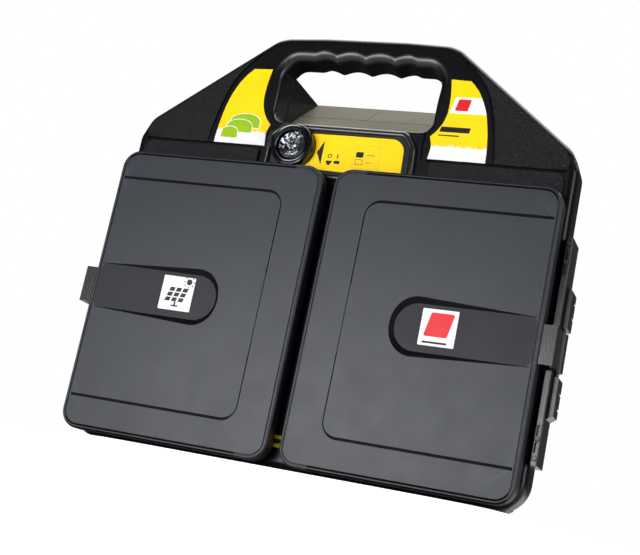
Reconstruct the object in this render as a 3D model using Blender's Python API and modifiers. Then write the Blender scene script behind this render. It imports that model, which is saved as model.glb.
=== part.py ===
"""Portable solar fence energizer.

An A-shaped case with a carrying handle stands on its lower edge. Two solar wings
close over its front and swing open about upright hinges at their outer edges.
The front faces -Y, +X is to the viewer's right and +Z is up. Units are metres.
The origin is at the centre of the footprint, on the surface the case stands on.
"""

import math

import bmesh
import bpy
from mathutils import Matrix, Vector

# Driving dimensions
DEPTH = 0.140
FRONT = -DEPTH / 2
HALF_WIDTH = 0.213
HEIGHT = 0.405
WALL = 0.003
GAP = 0.0003
SMOOTH_ANGLE = math.radians(35)

# Depths, counted from the front of the closed wings
WING_DEPTH = 0.0185
SHELL_FRONT = 0.022
SHELL_REAR = 0.052
GASKET = 0.002
HOUSING_REAR = 0.1345

# Wings
WING_GAP = 0.011
WING_OUTER = 0.2095
WING_BOTTOM = 0.0025
WING_HEIGHT = 0.2667
WING_TOP = WING_BOTTOM + WING_HEIGHT
WING_CORNER = 0.017
WING_SKIN = 0.0025
PANEL_DEPTH = 0.0035
PANEL_FRAME_WIDTH = 0.008
TONGUE_WIDTH = 0.128
TONGUE_HALF = 0.022
TONGUE_DEPTH = 0.0038
COVER_DEPTH = 0.0135
LABEL_INNER = 0.1075
LABEL_SIZE = 0.0315

# Hinges
HINGE_X = 0.2200
HINGE_Y = 0.035
HINGE_Z = 0.136
KNUCKLE_RADIUS = 0.005
KNUCKLE_HALF = 0.0165
PIN_RADIUS = 0.0024
PIN_HALF = 0.036
PIN_PLAY = 0.00006
ARM_INNER = 0.186
ARM_OUTER = 0.2222
ARM_FRONT = 0.0028
ARM_DEPTH = 0.0034
ARM_LEG = 0.0045
BRACKET_HALF = 0.096
BRACKET_OUTER = 0.2190
BRACKET_BRIDGE = 0.2170
BRACKET_FRONT = 0.019
BRACKET_REAR = 0.050
WEDGE_FRONT = 0.0285
WEDGE_OUTER = 0.2240
WEDGE_NEAR = 0.0205
WEDGE_FAR = 0.0570
SLOTS = [(0.0630, 0.0720), (0.0770, 0.0860)]
SCREW_X = 0.2162
SCREW_OFFSETS = [0.0745, 0.0905]

# Handle and hand recess
OPENING_HALF = 0.078
OPENING_BOTTOM = 0.3165
OPENING_TOP = 0.377
GRIP_FRONT = 0.0225
GRIP_REAR = 0.0555
GRIP_BEVEL = 0.010
FINGER_PITCH = 0.0285
FINGER_RADIUS = 0.017
FINGER_DEPTH = 0.004
RECESS_FLOOR = [(0.050, 0.3187), (0.084, 0.3465), (0.121, 0.3725)]
HOUSING_TOP = 0.374
LIFT_START = 0.104
LIFT_HEIGHT = 0.0105

# Console and push button
CONSOLE_FRONT = 0.0195
BUTTON_X = -0.0475
BUTTON_Z = 0.2910
COLLAR_RADIUS = 0.0205
BUTTON_RADIUS = 0.0138

# Labels
LABEL_DEPTH = 0.0005

# Battery and its door
BATTERY_SIZE = (0.181, 0.077, 0.167)
BATTERY_FRONT = 0.032
TRAY_TOP = 0.0092
DOOR_HALF = 0.105
DOOR_BOTTOM = 0.0212
DOOR_TOP = 0.212
DOOR_FRONT = 0.1372
DOOR_HINGE_Y = 0.1374
DOOR_HINGE_Z = 0.0165
DOOR_BARREL = 0.0025
DOOR_PIN_RADIUS = 0.0012
DOOR_PIN_HALF = 0.0965
DOOR_BARREL_X = 0.080

# Electronics
BOARD_FRONT = 0.0316
BOARD_DEPTH = 0.0016
LEAD_RADIUS = 0.0014

# Terminals on the left side of the rear housing
TERMINAL_X = -0.186
TERMINAL_Y = 0.095
TERMINALS = {"fence": 0.235, "earth": 0.190}
KNOB_RADIUS = 0.011

COLORS = {
    "case_black": ((0.020, 0.020, 0.021), 0.50, 0.0),
    "wing_black": ((0.024, 0.024, 0.025), 0.55, 0.0),
    "gloss_black": ((0.012, 0.012, 0.013), 0.22, 0.0),
    "rubber_black": ((0.030, 0.030, 0.030), 0.85, 0.0),
    "label_yellow": ((0.95, 0.72, 0.01), 0.40, 0.0),
    "label_white": ((0.86, 0.86, 0.84), 0.40, 0.0),
    "clear_plastic": ((0.55, 0.58, 0.60), 0.08, 0.0),
    "solar_blue": ((0.020, 0.035, 0.090), 0.12, 0.0),
    "steel": ((0.62, 0.62, 0.63), 0.30, 1.0),
    "brass": ((0.75, 0.56, 0.25), 0.30, 1.0),
    "board_green": ((0.03, 0.18, 0.07), 0.50, 0.0),
    "battery_grey": ((0.22, 0.23, 0.25), 0.55, 0.0),
    "red_plastic": ((0.60, 0.03, 0.02), 0.40, 0.0),
    "green_plastic": ((0.03, 0.25, 0.08), 0.40, 0.0),
}


# Scene and helpers


def clear_scene():
    for obj in list(bpy.data.objects):
        bpy.data.objects.remove(obj, do_unlink=True)


def make_collection(name):
    collection = bpy.data.collections.new(name)
    bpy.context.scene.collection.children.link(collection)
    return collection


clear_scene()
PARTS = make_collection("fence_energizer")
CUTTERS = make_collection("cutters")
CUTTERS.hide_render = True


def material(slot):
    found = bpy.data.materials.get(slot)
    if found:
        return found
    color, roughness, metallic = COLORS[slot]
    made = bpy.data.materials.new(slot)
    made.use_nodes = True
    made.diffuse_color = (*color, 1.0)
    shader = made.node_tree.nodes["Principled BSDF"]
    shader.inputs["Base Color"].default_value = (*color, 1.0)
    shader.inputs["Roughness"].default_value = roughness
    shader.inputs["Metallic"].default_value = metallic
    return made


def add(name, mesh, slot=None, location=(0, 0, 0)):
    """A node in the object's collection, or a cutter where no material slot is given."""
    split_large_faces(mesh)
    obj = bpy.data.objects.new(name, mesh)
    obj.location = location
    if slot:
        PARTS.objects.link(obj)
        mesh.materials.clear()
        mesh.materials.append(material(slot))
        mesh.shade_smooth()
        mesh.set_sharp_from_angle(angle=SMOOTH_ANGLE)
    else:
        CUTTERS.objects.link(obj)
        obj.hide_render = True
        obj.display_type = "WIRE"
    return obj


def split_large_faces(mesh):
    """Triangulates faces with more than four corners, which a Boolean may misread."""
    bm = bmesh.new()
    bm.from_mesh(mesh)
    large = [face for face in bm.faces if len(face.verts) > 4]
    bmesh.ops.triangulate(bm, faces=large)
    bm.to_mesh(mesh)
    bm.free()


def from_bmesh(name, bm):
    bmesh.ops.recalc_face_normals(bm, faces=bm.faces)
    mesh = bpy.data.meshes.new(name)
    bm.to_mesh(mesh)
    bm.free()
    return mesh


def box_mesh(name, low, high):
    """A box between two corners, given as (x, depth behind the wings' front, z)."""
    size = [h - l for l, h in zip(low, high)]
    centre = [(h + l) / 2 for l, h in zip(low, high)]
    centre[1] += FRONT
    bm = bmesh.new()
    bmesh.ops.create_cube(bm, size=1.0)
    bmesh.ops.scale(bm, vec=size, verts=bm.verts)
    bmesh.ops.translate(bm, vec=centre, verts=bm.verts)
    return from_bmesh(name, bm)


def cylinder_mesh(name, radius, start, end, sides=32, top_radius=None):
    """A cylinder or cone from one point to another, given as (x, depth, z)."""
    start = Vector((start[0], start[1] + FRONT, start[2]))
    end = Vector((end[0], end[1] + FRONT, end[2]))
    along = end - start
    turn = Vector((0, 0, 1)).rotation_difference(along).to_matrix().to_4x4()
    place = Matrix.Translation((start + end) / 2) @ turn
    bm = bmesh.new()
    bmesh.ops.create_cone(
        bm,
        cap_ends=True,
        segments=sides,
        radius1=radius,
        radius2=radius if top_radius is None else top_radius,
        depth=along.length,
        matrix=place,
    )
    return from_bmesh(name, bm)


def rounded(points, steps=5):
    """The outline through (x, z, radius) corners, with each corner as an arc."""
    outline = []
    count = len(points)
    for index, (x, z, radius) in enumerate(points):
        here = Vector((x, z))
        if radius <= 0:
            outline.append(here)
            continue
        before = (Vector(points[index - 1][:2]) - here).normalized()
        after = (Vector(points[(index + 1) % count][:2]) - here).normalized()
        half = before.angle(after) / 2
        reach = radius / math.tan(half)
        centre = here + (before + after).normalized() * radius / math.sin(half)
        start = here + before * reach - centre
        sweep = start.angle_signed(here + after * reach - centre)
        for step in range(steps + 1):
            angle = -sweep * step / steps
            turned = Matrix.Rotation(angle, 2) @ start
            outline.append(centre + turned)
    return outline


def outline_mesh(name, outlines, near, far):
    """A flat outline in X and Z, with any holes, made solid between two depths."""
    curve = bpy.data.curves.new(name, "CURVE")
    curve.dimensions = "2D"
    curve.fill_mode = "BOTH"
    curve.extrude = (far - near) / 2
    for outline in outlines:
        spline = curve.splines.new("POLY")
        spline.points.add(len(outline) - 1)
        for point, (x, z) in zip(spline.points, outline):
            point.co = (x, z, 0, 1)
        spline.use_cyclic_u = True
    obj = bpy.data.objects.new(name, curve)
    CUTTERS.objects.link(obj)
    upright = Matrix.Rotation(math.radians(90), 4, "X")
    obj.matrix_world = Matrix.Translation((0, FRONT + (near + far) / 2, 0)) @ upright
    bpy.context.view_layer.update()
    graph = bpy.context.evaluated_depsgraph_get()
    mesh = bpy.data.meshes.new_from_object(obj.evaluated_get(graph))
    mesh.transform(obj.matrix_world)
    bpy.data.objects.remove(obj)
    bpy.data.curves.remove(curve)
    bm = bmesh.new()
    bm.from_mesh(mesh)
    bmesh.ops.remove_doubles(bm, verts=bm.verts, dist=1e-6)
    bmesh.ops.dissolve_limit(
        bm, angle_limit=math.radians(0.5), verts=bm.verts, edges=bm.edges
    )
    bpy.data.meshes.remove(mesh)
    return from_bmesh(name, bm)


def side_mesh(name, outline, left, right):
    """An outline in depth and Z, made solid between two X positions."""
    bm = bmesh.new()
    corners = [bm.verts.new((left, y + FRONT, z)) for y, z in outline]
    face = bm.faces.new(corners)
    grown = bmesh.ops.extrude_face_region(bm, geom=[face])
    moved = [item for item in grown["geom"] if isinstance(item, bmesh.types.BMVert)]
    bmesh.ops.translate(bm, vec=(right - left, 0, 0), verts=moved)
    return from_bmesh(name, bm)


def boolean(obj, cutter, operation="DIFFERENCE"):
    modifier = obj.modifiers.new(operation.lower(), "BOOLEAN")
    modifier.operation = operation
    modifier.solver = "EXACT"
    modifier.object = cutter


def cut(obj, mesh):
    boolean(obj, add(mesh.name, mesh))


def join(obj, mesh):
    boolean(obj, add(mesh.name, mesh), "UNION")


def bevel(obj, width, segments=2, angle=40):
    modifier = obj.modifiers.new("edges", "BEVEL")
    modifier.width = width
    modifier.segments = segments
    modifier.limit_method = "ANGLE"
    modifier.angle_limit = math.radians(angle)


def bevel_mesh(mesh, width, segments, chosen):
    """Rounds the edges of a mesh that the test picks."""
    bm = bmesh.new()
    bm.from_mesh(mesh)
    edges = [edge for edge in bm.edges if chosen(edge)]
    bmesh.ops.bevel(
        bm,
        geom=edges,
        offset=width,
        segments=segments,
        profile=0.5,
        affect="EDGES",
        clamp_overlap=True,
    )
    bm.to_mesh(mesh)
    bm.free()
    return mesh


def at_depth(depth):
    """A test that picks the edges lying wholly at one depth."""
    return lambda edge: all(abs(v.co.y - FRONT - depth) < 1e-5 for v in edge.verts)


def set_origin(obj, point):
    """Moves an object's origin, and nothing else, to a point (x, depth, z)."""
    origin = Vector((point[0], point[1] + FRONT, point[2]))
    obj.data.transform(Matrix.Translation(-origin))
    obj.location = origin


def mirrored(points):
    """A closed outline from its right half, listed from the top down."""
    left = [(-x, z, radius) for x, z, radius in reversed(points)]
    return points + left


# Case


def case_outline(inset=0.0, bottom=0.0, top_drop=0.0):
    """The outline of the front shell, or one lying inside it."""
    half = HALF_WIDTH - inset
    return rounded(
        mirrored(
            [
                (0.040 - inset * 0.2, HEIGHT - inset - top_drop, 0),
                (0.086 - inset * 0.4, HEIGHT - 0.002 - inset - top_drop, 0.032),
                (0.205 - inset * 1.1, 0.3115 - inset * 0.7, 0.020),
                (half, 0.292 - inset * 0.4, 0.018),
                (half, bottom, max(0.026 - inset, 0.006)),
            ]
        )
    )


def front_shell():
    """Frame, handle legs and grip, moulded in one piece and open at the back."""
    mesh = outline_mesh("front_shell", [case_outline()], SHELL_FRONT, SHELL_REAR)
    bevel_mesh(mesh, 0.006, 3, at_depth(SHELL_FRONT))
    shell = add("front_shell", mesh, "case_black")
    legs = [
        (OPENING_HALF + 0.006, OPENING_BOTTOM - 0.006, 0),
        (OPENING_HALF + 0.006, 0.372, 0.004),
        (0.106, 0.372, 0.010),
        (0.200, 0.302, 0.012),
        (HALF_WIDTH - WALL, 0.286, 0.012),
        (HALF_WIDTH - WALL, WALL, 0.022),
    ]
    hollow = rounded(mirrored(legs))
    cut(shell, outline_mesh("shell_hollow", [hollow], SHELL_FRONT + WALL, SHELL_REAR - WALL))
    back = [
        (0.088, 0.307, 0.004),
        (0.166, 0.294, 0.010),
        (0.176, 0.277, 0.010),
        (0.176, 0.0065, 0.006),
    ]
    cut(
        shell,
        outline_mesh(
            "shell_back", [rounded(mirrored(back))], SHELL_REAR - 0.008, SHELL_REAR + 0.010
        ),
    )
    opening = [(OPENING_HALF, 0.392, 0.004), (OPENING_HALF, OPENING_BOTTOM, 0.008)]
    hole = rounded(mirrored(opening))
    cut(shell, outline_mesh("handle_hole", [hole], SHELL_FRONT - 0.005, SHELL_REAR + 0.005))
    join(shell, grip_mesh())
    for side in (-1, 1):
        ledge = outline_mesh("ledge", [ledge_outline(side)], 0.0195, SHELL_FRONT + 0.001)
        join(shell, bevel_mesh(ledge, 0.0015, 2, at_depth(0.0195)))
    cut(
        shell,
        cylinder_mesh(
            "button_hole", 0.0085, (BUTTON_X, 0.015, BUTTON_Z), (BUTTON_X, 0.030, BUTTON_Z)
        ),
    )
    return shell


def ledge_outline(side):
    """The raised band of the shell between a wing and the side label above it."""
    inner, outer = side * 0.082, side * 0.200
    return rounded(
        [(inner, 0.2715, 0), (inner, 0.2885, 0.003), (outer, 0.2885, 0.003), (outer, 0.2715, 0)]
    )


def grip_mesh():
    """The grip bar: a rounded beam with finger grooves along its underside."""
    reach = OPENING_HALF + 0.006
    mesh = box_mesh(
        "grip", (-reach, GRIP_FRONT, OPENING_TOP - 0.001), (reach, GRIP_REAR, HEIGHT - 0.0035)
    )
    bevel_mesh(
        mesh, GRIP_BEVEL, 4, lambda edge: abs(edge.verts[0].co.x - edge.verts[1].co.x) > reach
    )
    grip = add("grip_body", mesh)
    for index in range(4):
        x = (index - 1.5) * FINGER_PITCH + 0.002
        z = OPENING_TOP - FINGER_RADIUS + FINGER_DEPTH - 0.001
        groove = cylinder_mesh("finger_groove", FINGER_RADIUS, (x, 0.015, z), (x, 0.065, z), 40)
        cut(grip, groove)
    return applied(grip)


def applied(obj):
    """The mesh that an object's modifiers make; the object itself is removed."""
    bpy.context.view_layer.update()
    graph = bpy.context.evaluated_depsgraph_get()
    mesh = bpy.data.meshes.new_from_object(obj.evaluated_get(graph))
    mesh.name = obj.name
    mesh.transform(obj.matrix_world)
    bpy.data.objects.remove(obj)
    return mesh


def housing_outline(inset):
    """The outline of the rear housing, or of its hollow."""
    half = 0.186 - inset
    return rounded(
        mirrored(
            [
                (0.100 - inset * 0.5, HOUSING_TOP - inset, 0.012),
                (0.178 - inset, 0.302 - inset * 0.7, 0.016),
                (half, 0.284 - inset * 0.4, 0.016),
                (half, inset, 0.010),
            ]
        )
    )


def rear_housing():
    """The tub behind the shell, with the hand recess and the battery doorway."""
    near = SHELL_REAR + GASKET + GAP
    mesh = outline_mesh("rear_housing", [housing_outline(0)], near, HOUSING_REAR)
    bevel_mesh(mesh, 0.008, 3, at_depth(HOUSING_REAR))
    housing = add("rear_housing", mesh, "case_black")
    hollow = outline_mesh(
        "housing_hollow", [housing_outline(WALL)], near - 0.010, HOUSING_REAR - WALL
    )
    hollow = add("housing_hollow", hollow)
    cut(hollow, recess_mesh("recess_walls", WALL, near - 0.02))
    cut(hollow, side_mesh("floor_lift_wall", lift_outline(WALL), -0.20, 0.20))
    boolean(housing, add("housing_hollow_cut", applied(hollow)))
    cut(housing, recess_mesh("hand_recess", 0, near - 0.005))
    cut(housing, side_mesh("floor_lift", lift_outline(0), -0.20, 0.20))
    doorway = [
        (DOOR_HALF - 0.006, DOOR_TOP - 0.007, 0.006),
        (DOOR_HALF - 0.006, DOOR_BOTTOM + 0.009, 0.006),
    ]
    doorway = rounded(mirrored(doorway))
    cut(housing, outline_mesh("doorway", [doorway], HOUSING_REAR - 0.02, HOUSING_REAR + 0.01))
    for height in TERMINALS.values():
        start = (TERMINAL_X - 0.01, TERMINAL_Y, height)
        end = (TERMINAL_X + 0.01, TERMINAL_Y, height)
        cut(housing, cylinder_mesh("terminal_hole", 0.0033, start, end, 20))
    return housing


def lift_outline(grown):
    """The space under the housing's floor where it rises towards the back."""
    rise = LIFT_HEIGHT / (HOUSING_REAR - LIFT_START)
    beyond = HOUSING_REAR + 0.010
    high = rise * (beyond - LIFT_START) + grown
    return [(LIFT_START, grown), (LIFT_START, -0.01), (beyond, -0.01), (beyond, high)]


def recess_mesh(name, grown, near):
    """The space of the hand recess, or that space with its walls round it."""
    (y0, z0), (y1, z1), (y2, z2) = RECESS_FLOOR
    half = 0.078 + grown
    drop = grown * 1.15
    above = HOUSING_TOP + 0.02
    slope = (z1 - z0) / (y1 - y0)
    z_near = z0 - (y0 - near) * slope
    outline = [
        (near, z_near - drop),
        (y1, z1 - drop),
        (y2 + grown, z2 + 0.0015 - drop + grown * 0.8),
        (y2 + grown, above),
        (near, above),
    ]
    return side_mesh(name, outline, -half, half)


def case_gasket():
    """The rubber ring between the shell and the housing."""
    outer = [
        (0.0785, 0.3180, 0),
        (0.0785, 0.3720, 0),
        (0.0995, 0.3735, 0.010),
        (0.1772, 0.3015, 0.015),
        (0.1855, 0.2835, 0.015),
        (0.1855, 0.0015, 0.010),
    ]
    inner = [
        (0.0835, 0.3120, 0),
        (0.0835, 0.3660, 0),
        (0.0970, 0.3665, 0.006),
        (0.1700, 0.2985, 0.012),
        (0.1785, 0.2815, 0.012),
        (0.1785, 0.0055, 0.006),
    ]
    outlines = [rounded(mirrored(outer)), rounded(mirrored(inner))]
    mesh = outline_mesh("case_gasket", outlines, SHELL_REAR + GAP, SHELL_REAR + GASKET)
    return add("case_gasket", mesh, "rubber_black")


# Console and push button


def console():
    """The control plate below the handle opening, with its label and push button."""
    corners = [
        (-0.076, 0.262, 0),
        (-0.076, 0.303, 0.010),
        (-0.064, 0.3150, 0.010),
        (0.058, 0.3150, 0.006),
        (0.070, 0.300, 0.008),
        (0.070, 0.262, 0),
    ]
    mesh = outline_mesh("console_plate", [rounded(corners)], CONSOLE_FRONT, SHELL_FRONT - GAP)
    mesh = bevel_mesh(mesh, 0.0012, 2, at_depth(CONSOLE_FRONT))
    plate = add("console_plate", mesh, "case_black")
    cut(
        plate,
        cylinder_mesh(
            "plate_hole", 0.0165, (BUTTON_X, 0.010, BUTTON_Z), (BUTTON_X, 0.030, BUTTON_Z)
        ),
    )
    label = rounded(
        [
            (-0.0255, 0.2735, 0.001),
            (-0.0255, 0.2900, 0.004),
            (-0.0295, 0.3055, 0.001),
            (0.0400, 0.3060, 0.004),
            (0.0545, 0.2985, 0.005),
            (0.0600, 0.2735, 0.002),
        ]
    )
    mesh = outline_mesh(
        "control_label", [label], CONSOLE_FRONT - GAP - LABEL_DEPTH, CONSOLE_FRONT - GAP
    )
    add("control_label", mesh, "label_yellow")
    collar_profile = [
        (0.0160, 0.0),
        (0.0160, 0.0026),
        (COLLAR_RADIUS, 0.0026),
        (COLLAR_RADIUS - 0.0012, 0.0115),
        (COLLAR_RADIUS - 0.0030, 0.0132),
        (BUTTON_RADIUS + 0.0006, 0.0120),
        (BUTTON_RADIUS + 0.0006, 0.0012),
        (0.0100, 0.0012),
        (0.0100, 0.0),
    ]
    button_axis(turned("button_collar", collar_profile, 40), "gloss_black", 0.0217)
    button_profile = [
        (0.0, 0.0),
        (BUTTON_RADIUS - 0.0012, 0.0),
        (BUTTON_RADIUS, 0.0008),
        (BUTTON_RADIUS, 0.0060),
        (BUTTON_RADIUS - 0.0010, 0.0075),
        (BUTTON_RADIUS - 0.0055, 0.0092),
        (0.0, 0.0098),
    ]
    button_axis(turned("push_button", button_profile, 40), "clear_plastic", 0.0177)
    seal_profile = [(0.0087, 0.0), (0.0097, 0.0), (0.0097, 0.0010), (0.0087, 0.0010)]
    button_axis(turned("button_seal", seal_profile, 32), "rubber_black", SHELL_FRONT - GAP)
    switch = box_mesh(
        "push_switch",
        (BUTTON_X - 0.006, 0.0262, BUTTON_Z - 0.006),
        (BUTTON_X + 0.006, 0.0312, BUTTON_Z + 0.006),
    )
    stem = cylinder_mesh(
        "switch_stem", 0.0022, (BUTTON_X, 0.0206, BUTTON_Z), (BUTTON_X, 0.0270, BUTTON_Z), 16
    )
    join(add("push_switch", switch, "case_black"), stem)
    lamp = cylinder_mesh(
        "indicator_lamp",
        0.0015,
        (BUTTON_X + 0.005, 0.0208, BUTTON_Z),
        (BUTTON_X + 0.005, 0.0259, BUTTON_Z),
        16,
    )
    add("indicator_lamp", lamp, "red_plastic")


def turned(name, profile, steps):
    """A ring or disc turned about +Z, from (radius, height) points."""
    bm = bmesh.new()
    points = [bm.verts.new((radius, 0, height)) for radius, height in profile]
    closed = profile[0][0] > 0
    for first, second in zip(points, points[1:]):
        bm.edges.new((first, second))
    if closed:
        bm.edges.new((points[-1], points[0]))
    bmesh.ops.spin(
        bm,
        geom=bm.verts[:] + bm.edges[:],
        axis=(0, 0, 1),
        cent=(0, 0, 0),
        dvec=(0, 0, 0),
        angle=math.tau,
        steps=steps,
        use_merge=True,
    )
    bmesh.ops.remove_doubles(bm, verts=bm.verts, dist=1e-6)
    return from_bmesh(name, bm)


def button_axis(mesh, slot, depth):
    """Places a turned piece on the push button's axis, its base at a depth."""
    obj = add(mesh.name, mesh, slot, (BUTTON_X, FRONT + depth, BUTTON_Z))
    obj.rotation_euler = (math.radians(90), 0, 0)
    return obj


# Labels on the shell


def shell_labels():
    """The two printed labels beside the handle and the small one between the wings."""
    half = [
        (0.0875, 0.3685, 0.001),
        (0.1080, 0.3675, 0.010),
        (0.1270, 0.3380, 0.040),
        (0.1325, 0.2910, 0.002),
        (0.0800, 0.2910, 0.002),
        (0.0810, 0.3040, 0.004),
        (0.0770, 0.3125, 0.001),
        (0.0885, 0.3230, 0.010),
        (0.0915, 0.3450, 0.020),
    ]
    near = SHELL_FRONT - GAP - LABEL_DEPTH
    for name, side in (("left_side_label", -1), ("right_side_label", 1)):
        outline = rounded([(side * x, z, radius) for x, z, radius in half])
        add(name, outline_mesh(name, [outline], near, near + LABEL_DEPTH), "label_yellow")
    strip = rounded(mirrored([(0.055, 0.034, 0.003), (0.055, 0.012, 0.003)]))
    add(
        "front_label",
        outline_mesh("front_label", [strip], near, near + LABEL_DEPTH),
        "label_yellow",
    )


# Wings and hinges


def wing_outline(side, inset, radius):
    """A wing's rounded rectangle, or one lying inside it."""
    inner = WING_GAP / 2 + inset
    outer = WING_OUTER - inset
    low = WING_BOTTOM + inset
    high = WING_TOP - inset
    corners = [(inner, low), (inner, high), (outer, high), (outer, low)]
    return rounded([(side * x, z, radius) for x, z in corners])


def tongue_outline(side, reach, half):
    """The tongue-shaped pocket: square at the wing's outer edge, round at its inner end."""
    inner = WING_OUTER - TONGUE_WIDTH - (half - TONGUE_HALF)
    corners = [
        (reach, HINGE_Z - half, 0),
        (inner, HINGE_Z - half, half * 0.95),
        (inner, HINGE_Z + half, half * 0.95),
        (reach, HINGE_Z + half, 0),
    ]
    return rounded([(side * x, z, radius) for x, z, radius in corners])


def tongue_depth(x):
    return TONGUE_DEPTH * (WING_OUTER - abs(x)) / TONGUE_WIDTH


def wing(name, side):
    """One wing: cover, hinge arm, solar panel, the frame that holds it, and a label."""
    mesh = outline_mesh(f"{name}_cover", [wing_outline(side, 0, WING_CORNER)], 0, COVER_DEPTH)
    bevel_mesh(mesh, 0.0016, 2, at_depth(0))
    cover = add(f"{name}_cover", mesh, "wing_black")
    inside = wing_outline(side, WING_SKIN, WING_CORNER - WING_SKIN)
    hollow = outline_mesh(f"{name}_hollow", [inside], WING_SKIN, COVER_DEPTH + 0.005)
    hollow = add(f"{name}_hollow", hollow)
    island = [tongue_outline(side, ARM_INNER - 0.004, TONGUE_HALF + 0.002)]
    cut(hollow, outline_mesh(f"{name}_island", island, 0, TONGUE_DEPTH + WING_SKIN))
    boolean(cover, add(f"{name}_hollow_cut", applied(hollow)))
    pocket = outline_mesh(
        f"{name}_pocket", [tongue_outline(side, WING_OUTER + 0.004, TONGUE_HALF)], -0.004, 0
    )
    for vertex in pocket.vertices:
        if vertex.co.y > FRONT - 0.001:
            vertex.co.y = FRONT + tongue_depth(vertex.co.x)
    cut(cover, pocket)
    notch = box_mesh(
        f"{name}_arm_notch",
        (side * (WING_OUTER - 0.004), ARM_FRONT - GAP, HINGE_Z - KNUCKLE_HALF - GAP),
        (side * (WING_OUTER + 0.004), ARM_FRONT + ARM_DEPTH + GAP, HINGE_Z + KNUCKLE_HALF + GAP),
    )
    cut(cover, notch)
    hinge_arm(name, side)
    inside = wing_outline(side, WING_SKIN + 0.0005, WING_CORNER - WING_SKIN - 0.0005)
    far = COVER_DEPTH - GAP
    panel = outline_mesh(f"{name}_solar_panel", [inside], far - PANEL_DEPTH, far)
    add(f"{name}_solar_panel", panel, "solar_blue")
    outer = wing_outline(side, 0.0012, WING_CORNER - 0.0012)
    inner = wing_outline(side, PANEL_FRAME_WIDTH, WING_CORNER - PANEL_FRAME_WIDTH)
    frame = outline_mesh(f"{name}_panel_frame", [outer, inner], COVER_DEPTH + GAP, WING_DEPTH)
    bevel_mesh(frame, 0.0010, 1, at_depth(WING_DEPTH))
    add(f"{name}_panel_frame", frame, "wing_black")
    wing_label(name, side)


def hinge_arm(name, side):
    """The arm that carries a wing: a tab out of its edge, a leg back and the knuckle."""
    low = HINGE_Z - KNUCKLE_HALF
    high = HINGE_Z + KNUCKLE_HALF
    inner, outer = side * ARM_INNER, side * ARM_OUTER
    tab = box_mesh("tab", (inner, ARM_FRONT, low), (outer, ARM_FRONT + ARM_DEPTH, high))
    bevel_mesh(
        tab, 0.0010, 2, lambda edge: edge_along_z(edge) and abs(edge.verts[0].co.x) > WING_OUTER
    )
    arm = add(f"{name}_hinge_arm", tab, "wing_black")
    leg_inner = side * (ARM_OUTER - ARM_LEG)
    join(arm, box_mesh("leg", (leg_inner, ARM_FRONT + 0.001, low), (outer, HINGE_Y, high)))
    ends = (side * HINGE_X, HINGE_Y, low), (side * HINGE_X, HINGE_Y, high)
    join(arm, cylinder_mesh("knuckle", KNUCKLE_RADIUS, *ends, 28))
    bore_radius = PIN_RADIUS + PIN_PLAY
    ends = (side * HINGE_X, HINGE_Y, low - 0.005), (side * HINGE_X, HINGE_Y, high + 0.005)
    cut(arm, cylinder_mesh("knuckle_bore", bore_radius, *ends, 24))


def edge_along_z(edge):
    first, second = edge.verts
    return abs(first.co.x - second.co.x) < 1e-6 and abs(first.co.y - second.co.y) < 1e-6


def wing_label(name, side):
    """A small label lying on the sloping floor of the pocket."""
    inner, outer = LABEL_INNER, LABEL_INNER + LABEL_SIZE
    low = HINGE_Z + 0.0015 - LABEL_SIZE / 2
    corners = [(inner, low), (inner, low + LABEL_SIZE), (outer, low + LABEL_SIZE), (outer, low)]
    outline = rounded([(side * x, z, 0.0015) for x, z in corners], steps=2)
    mesh = outline_mesh(f"{name}_label", [outline], 0, LABEL_DEPTH)
    for vertex in mesh.vertices:
        vertex.co.y += tongue_depth(vertex.co.x) - GAP / 2 - LABEL_DEPTH
    add(f"{name}_label", mesh, "label_white")


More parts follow.
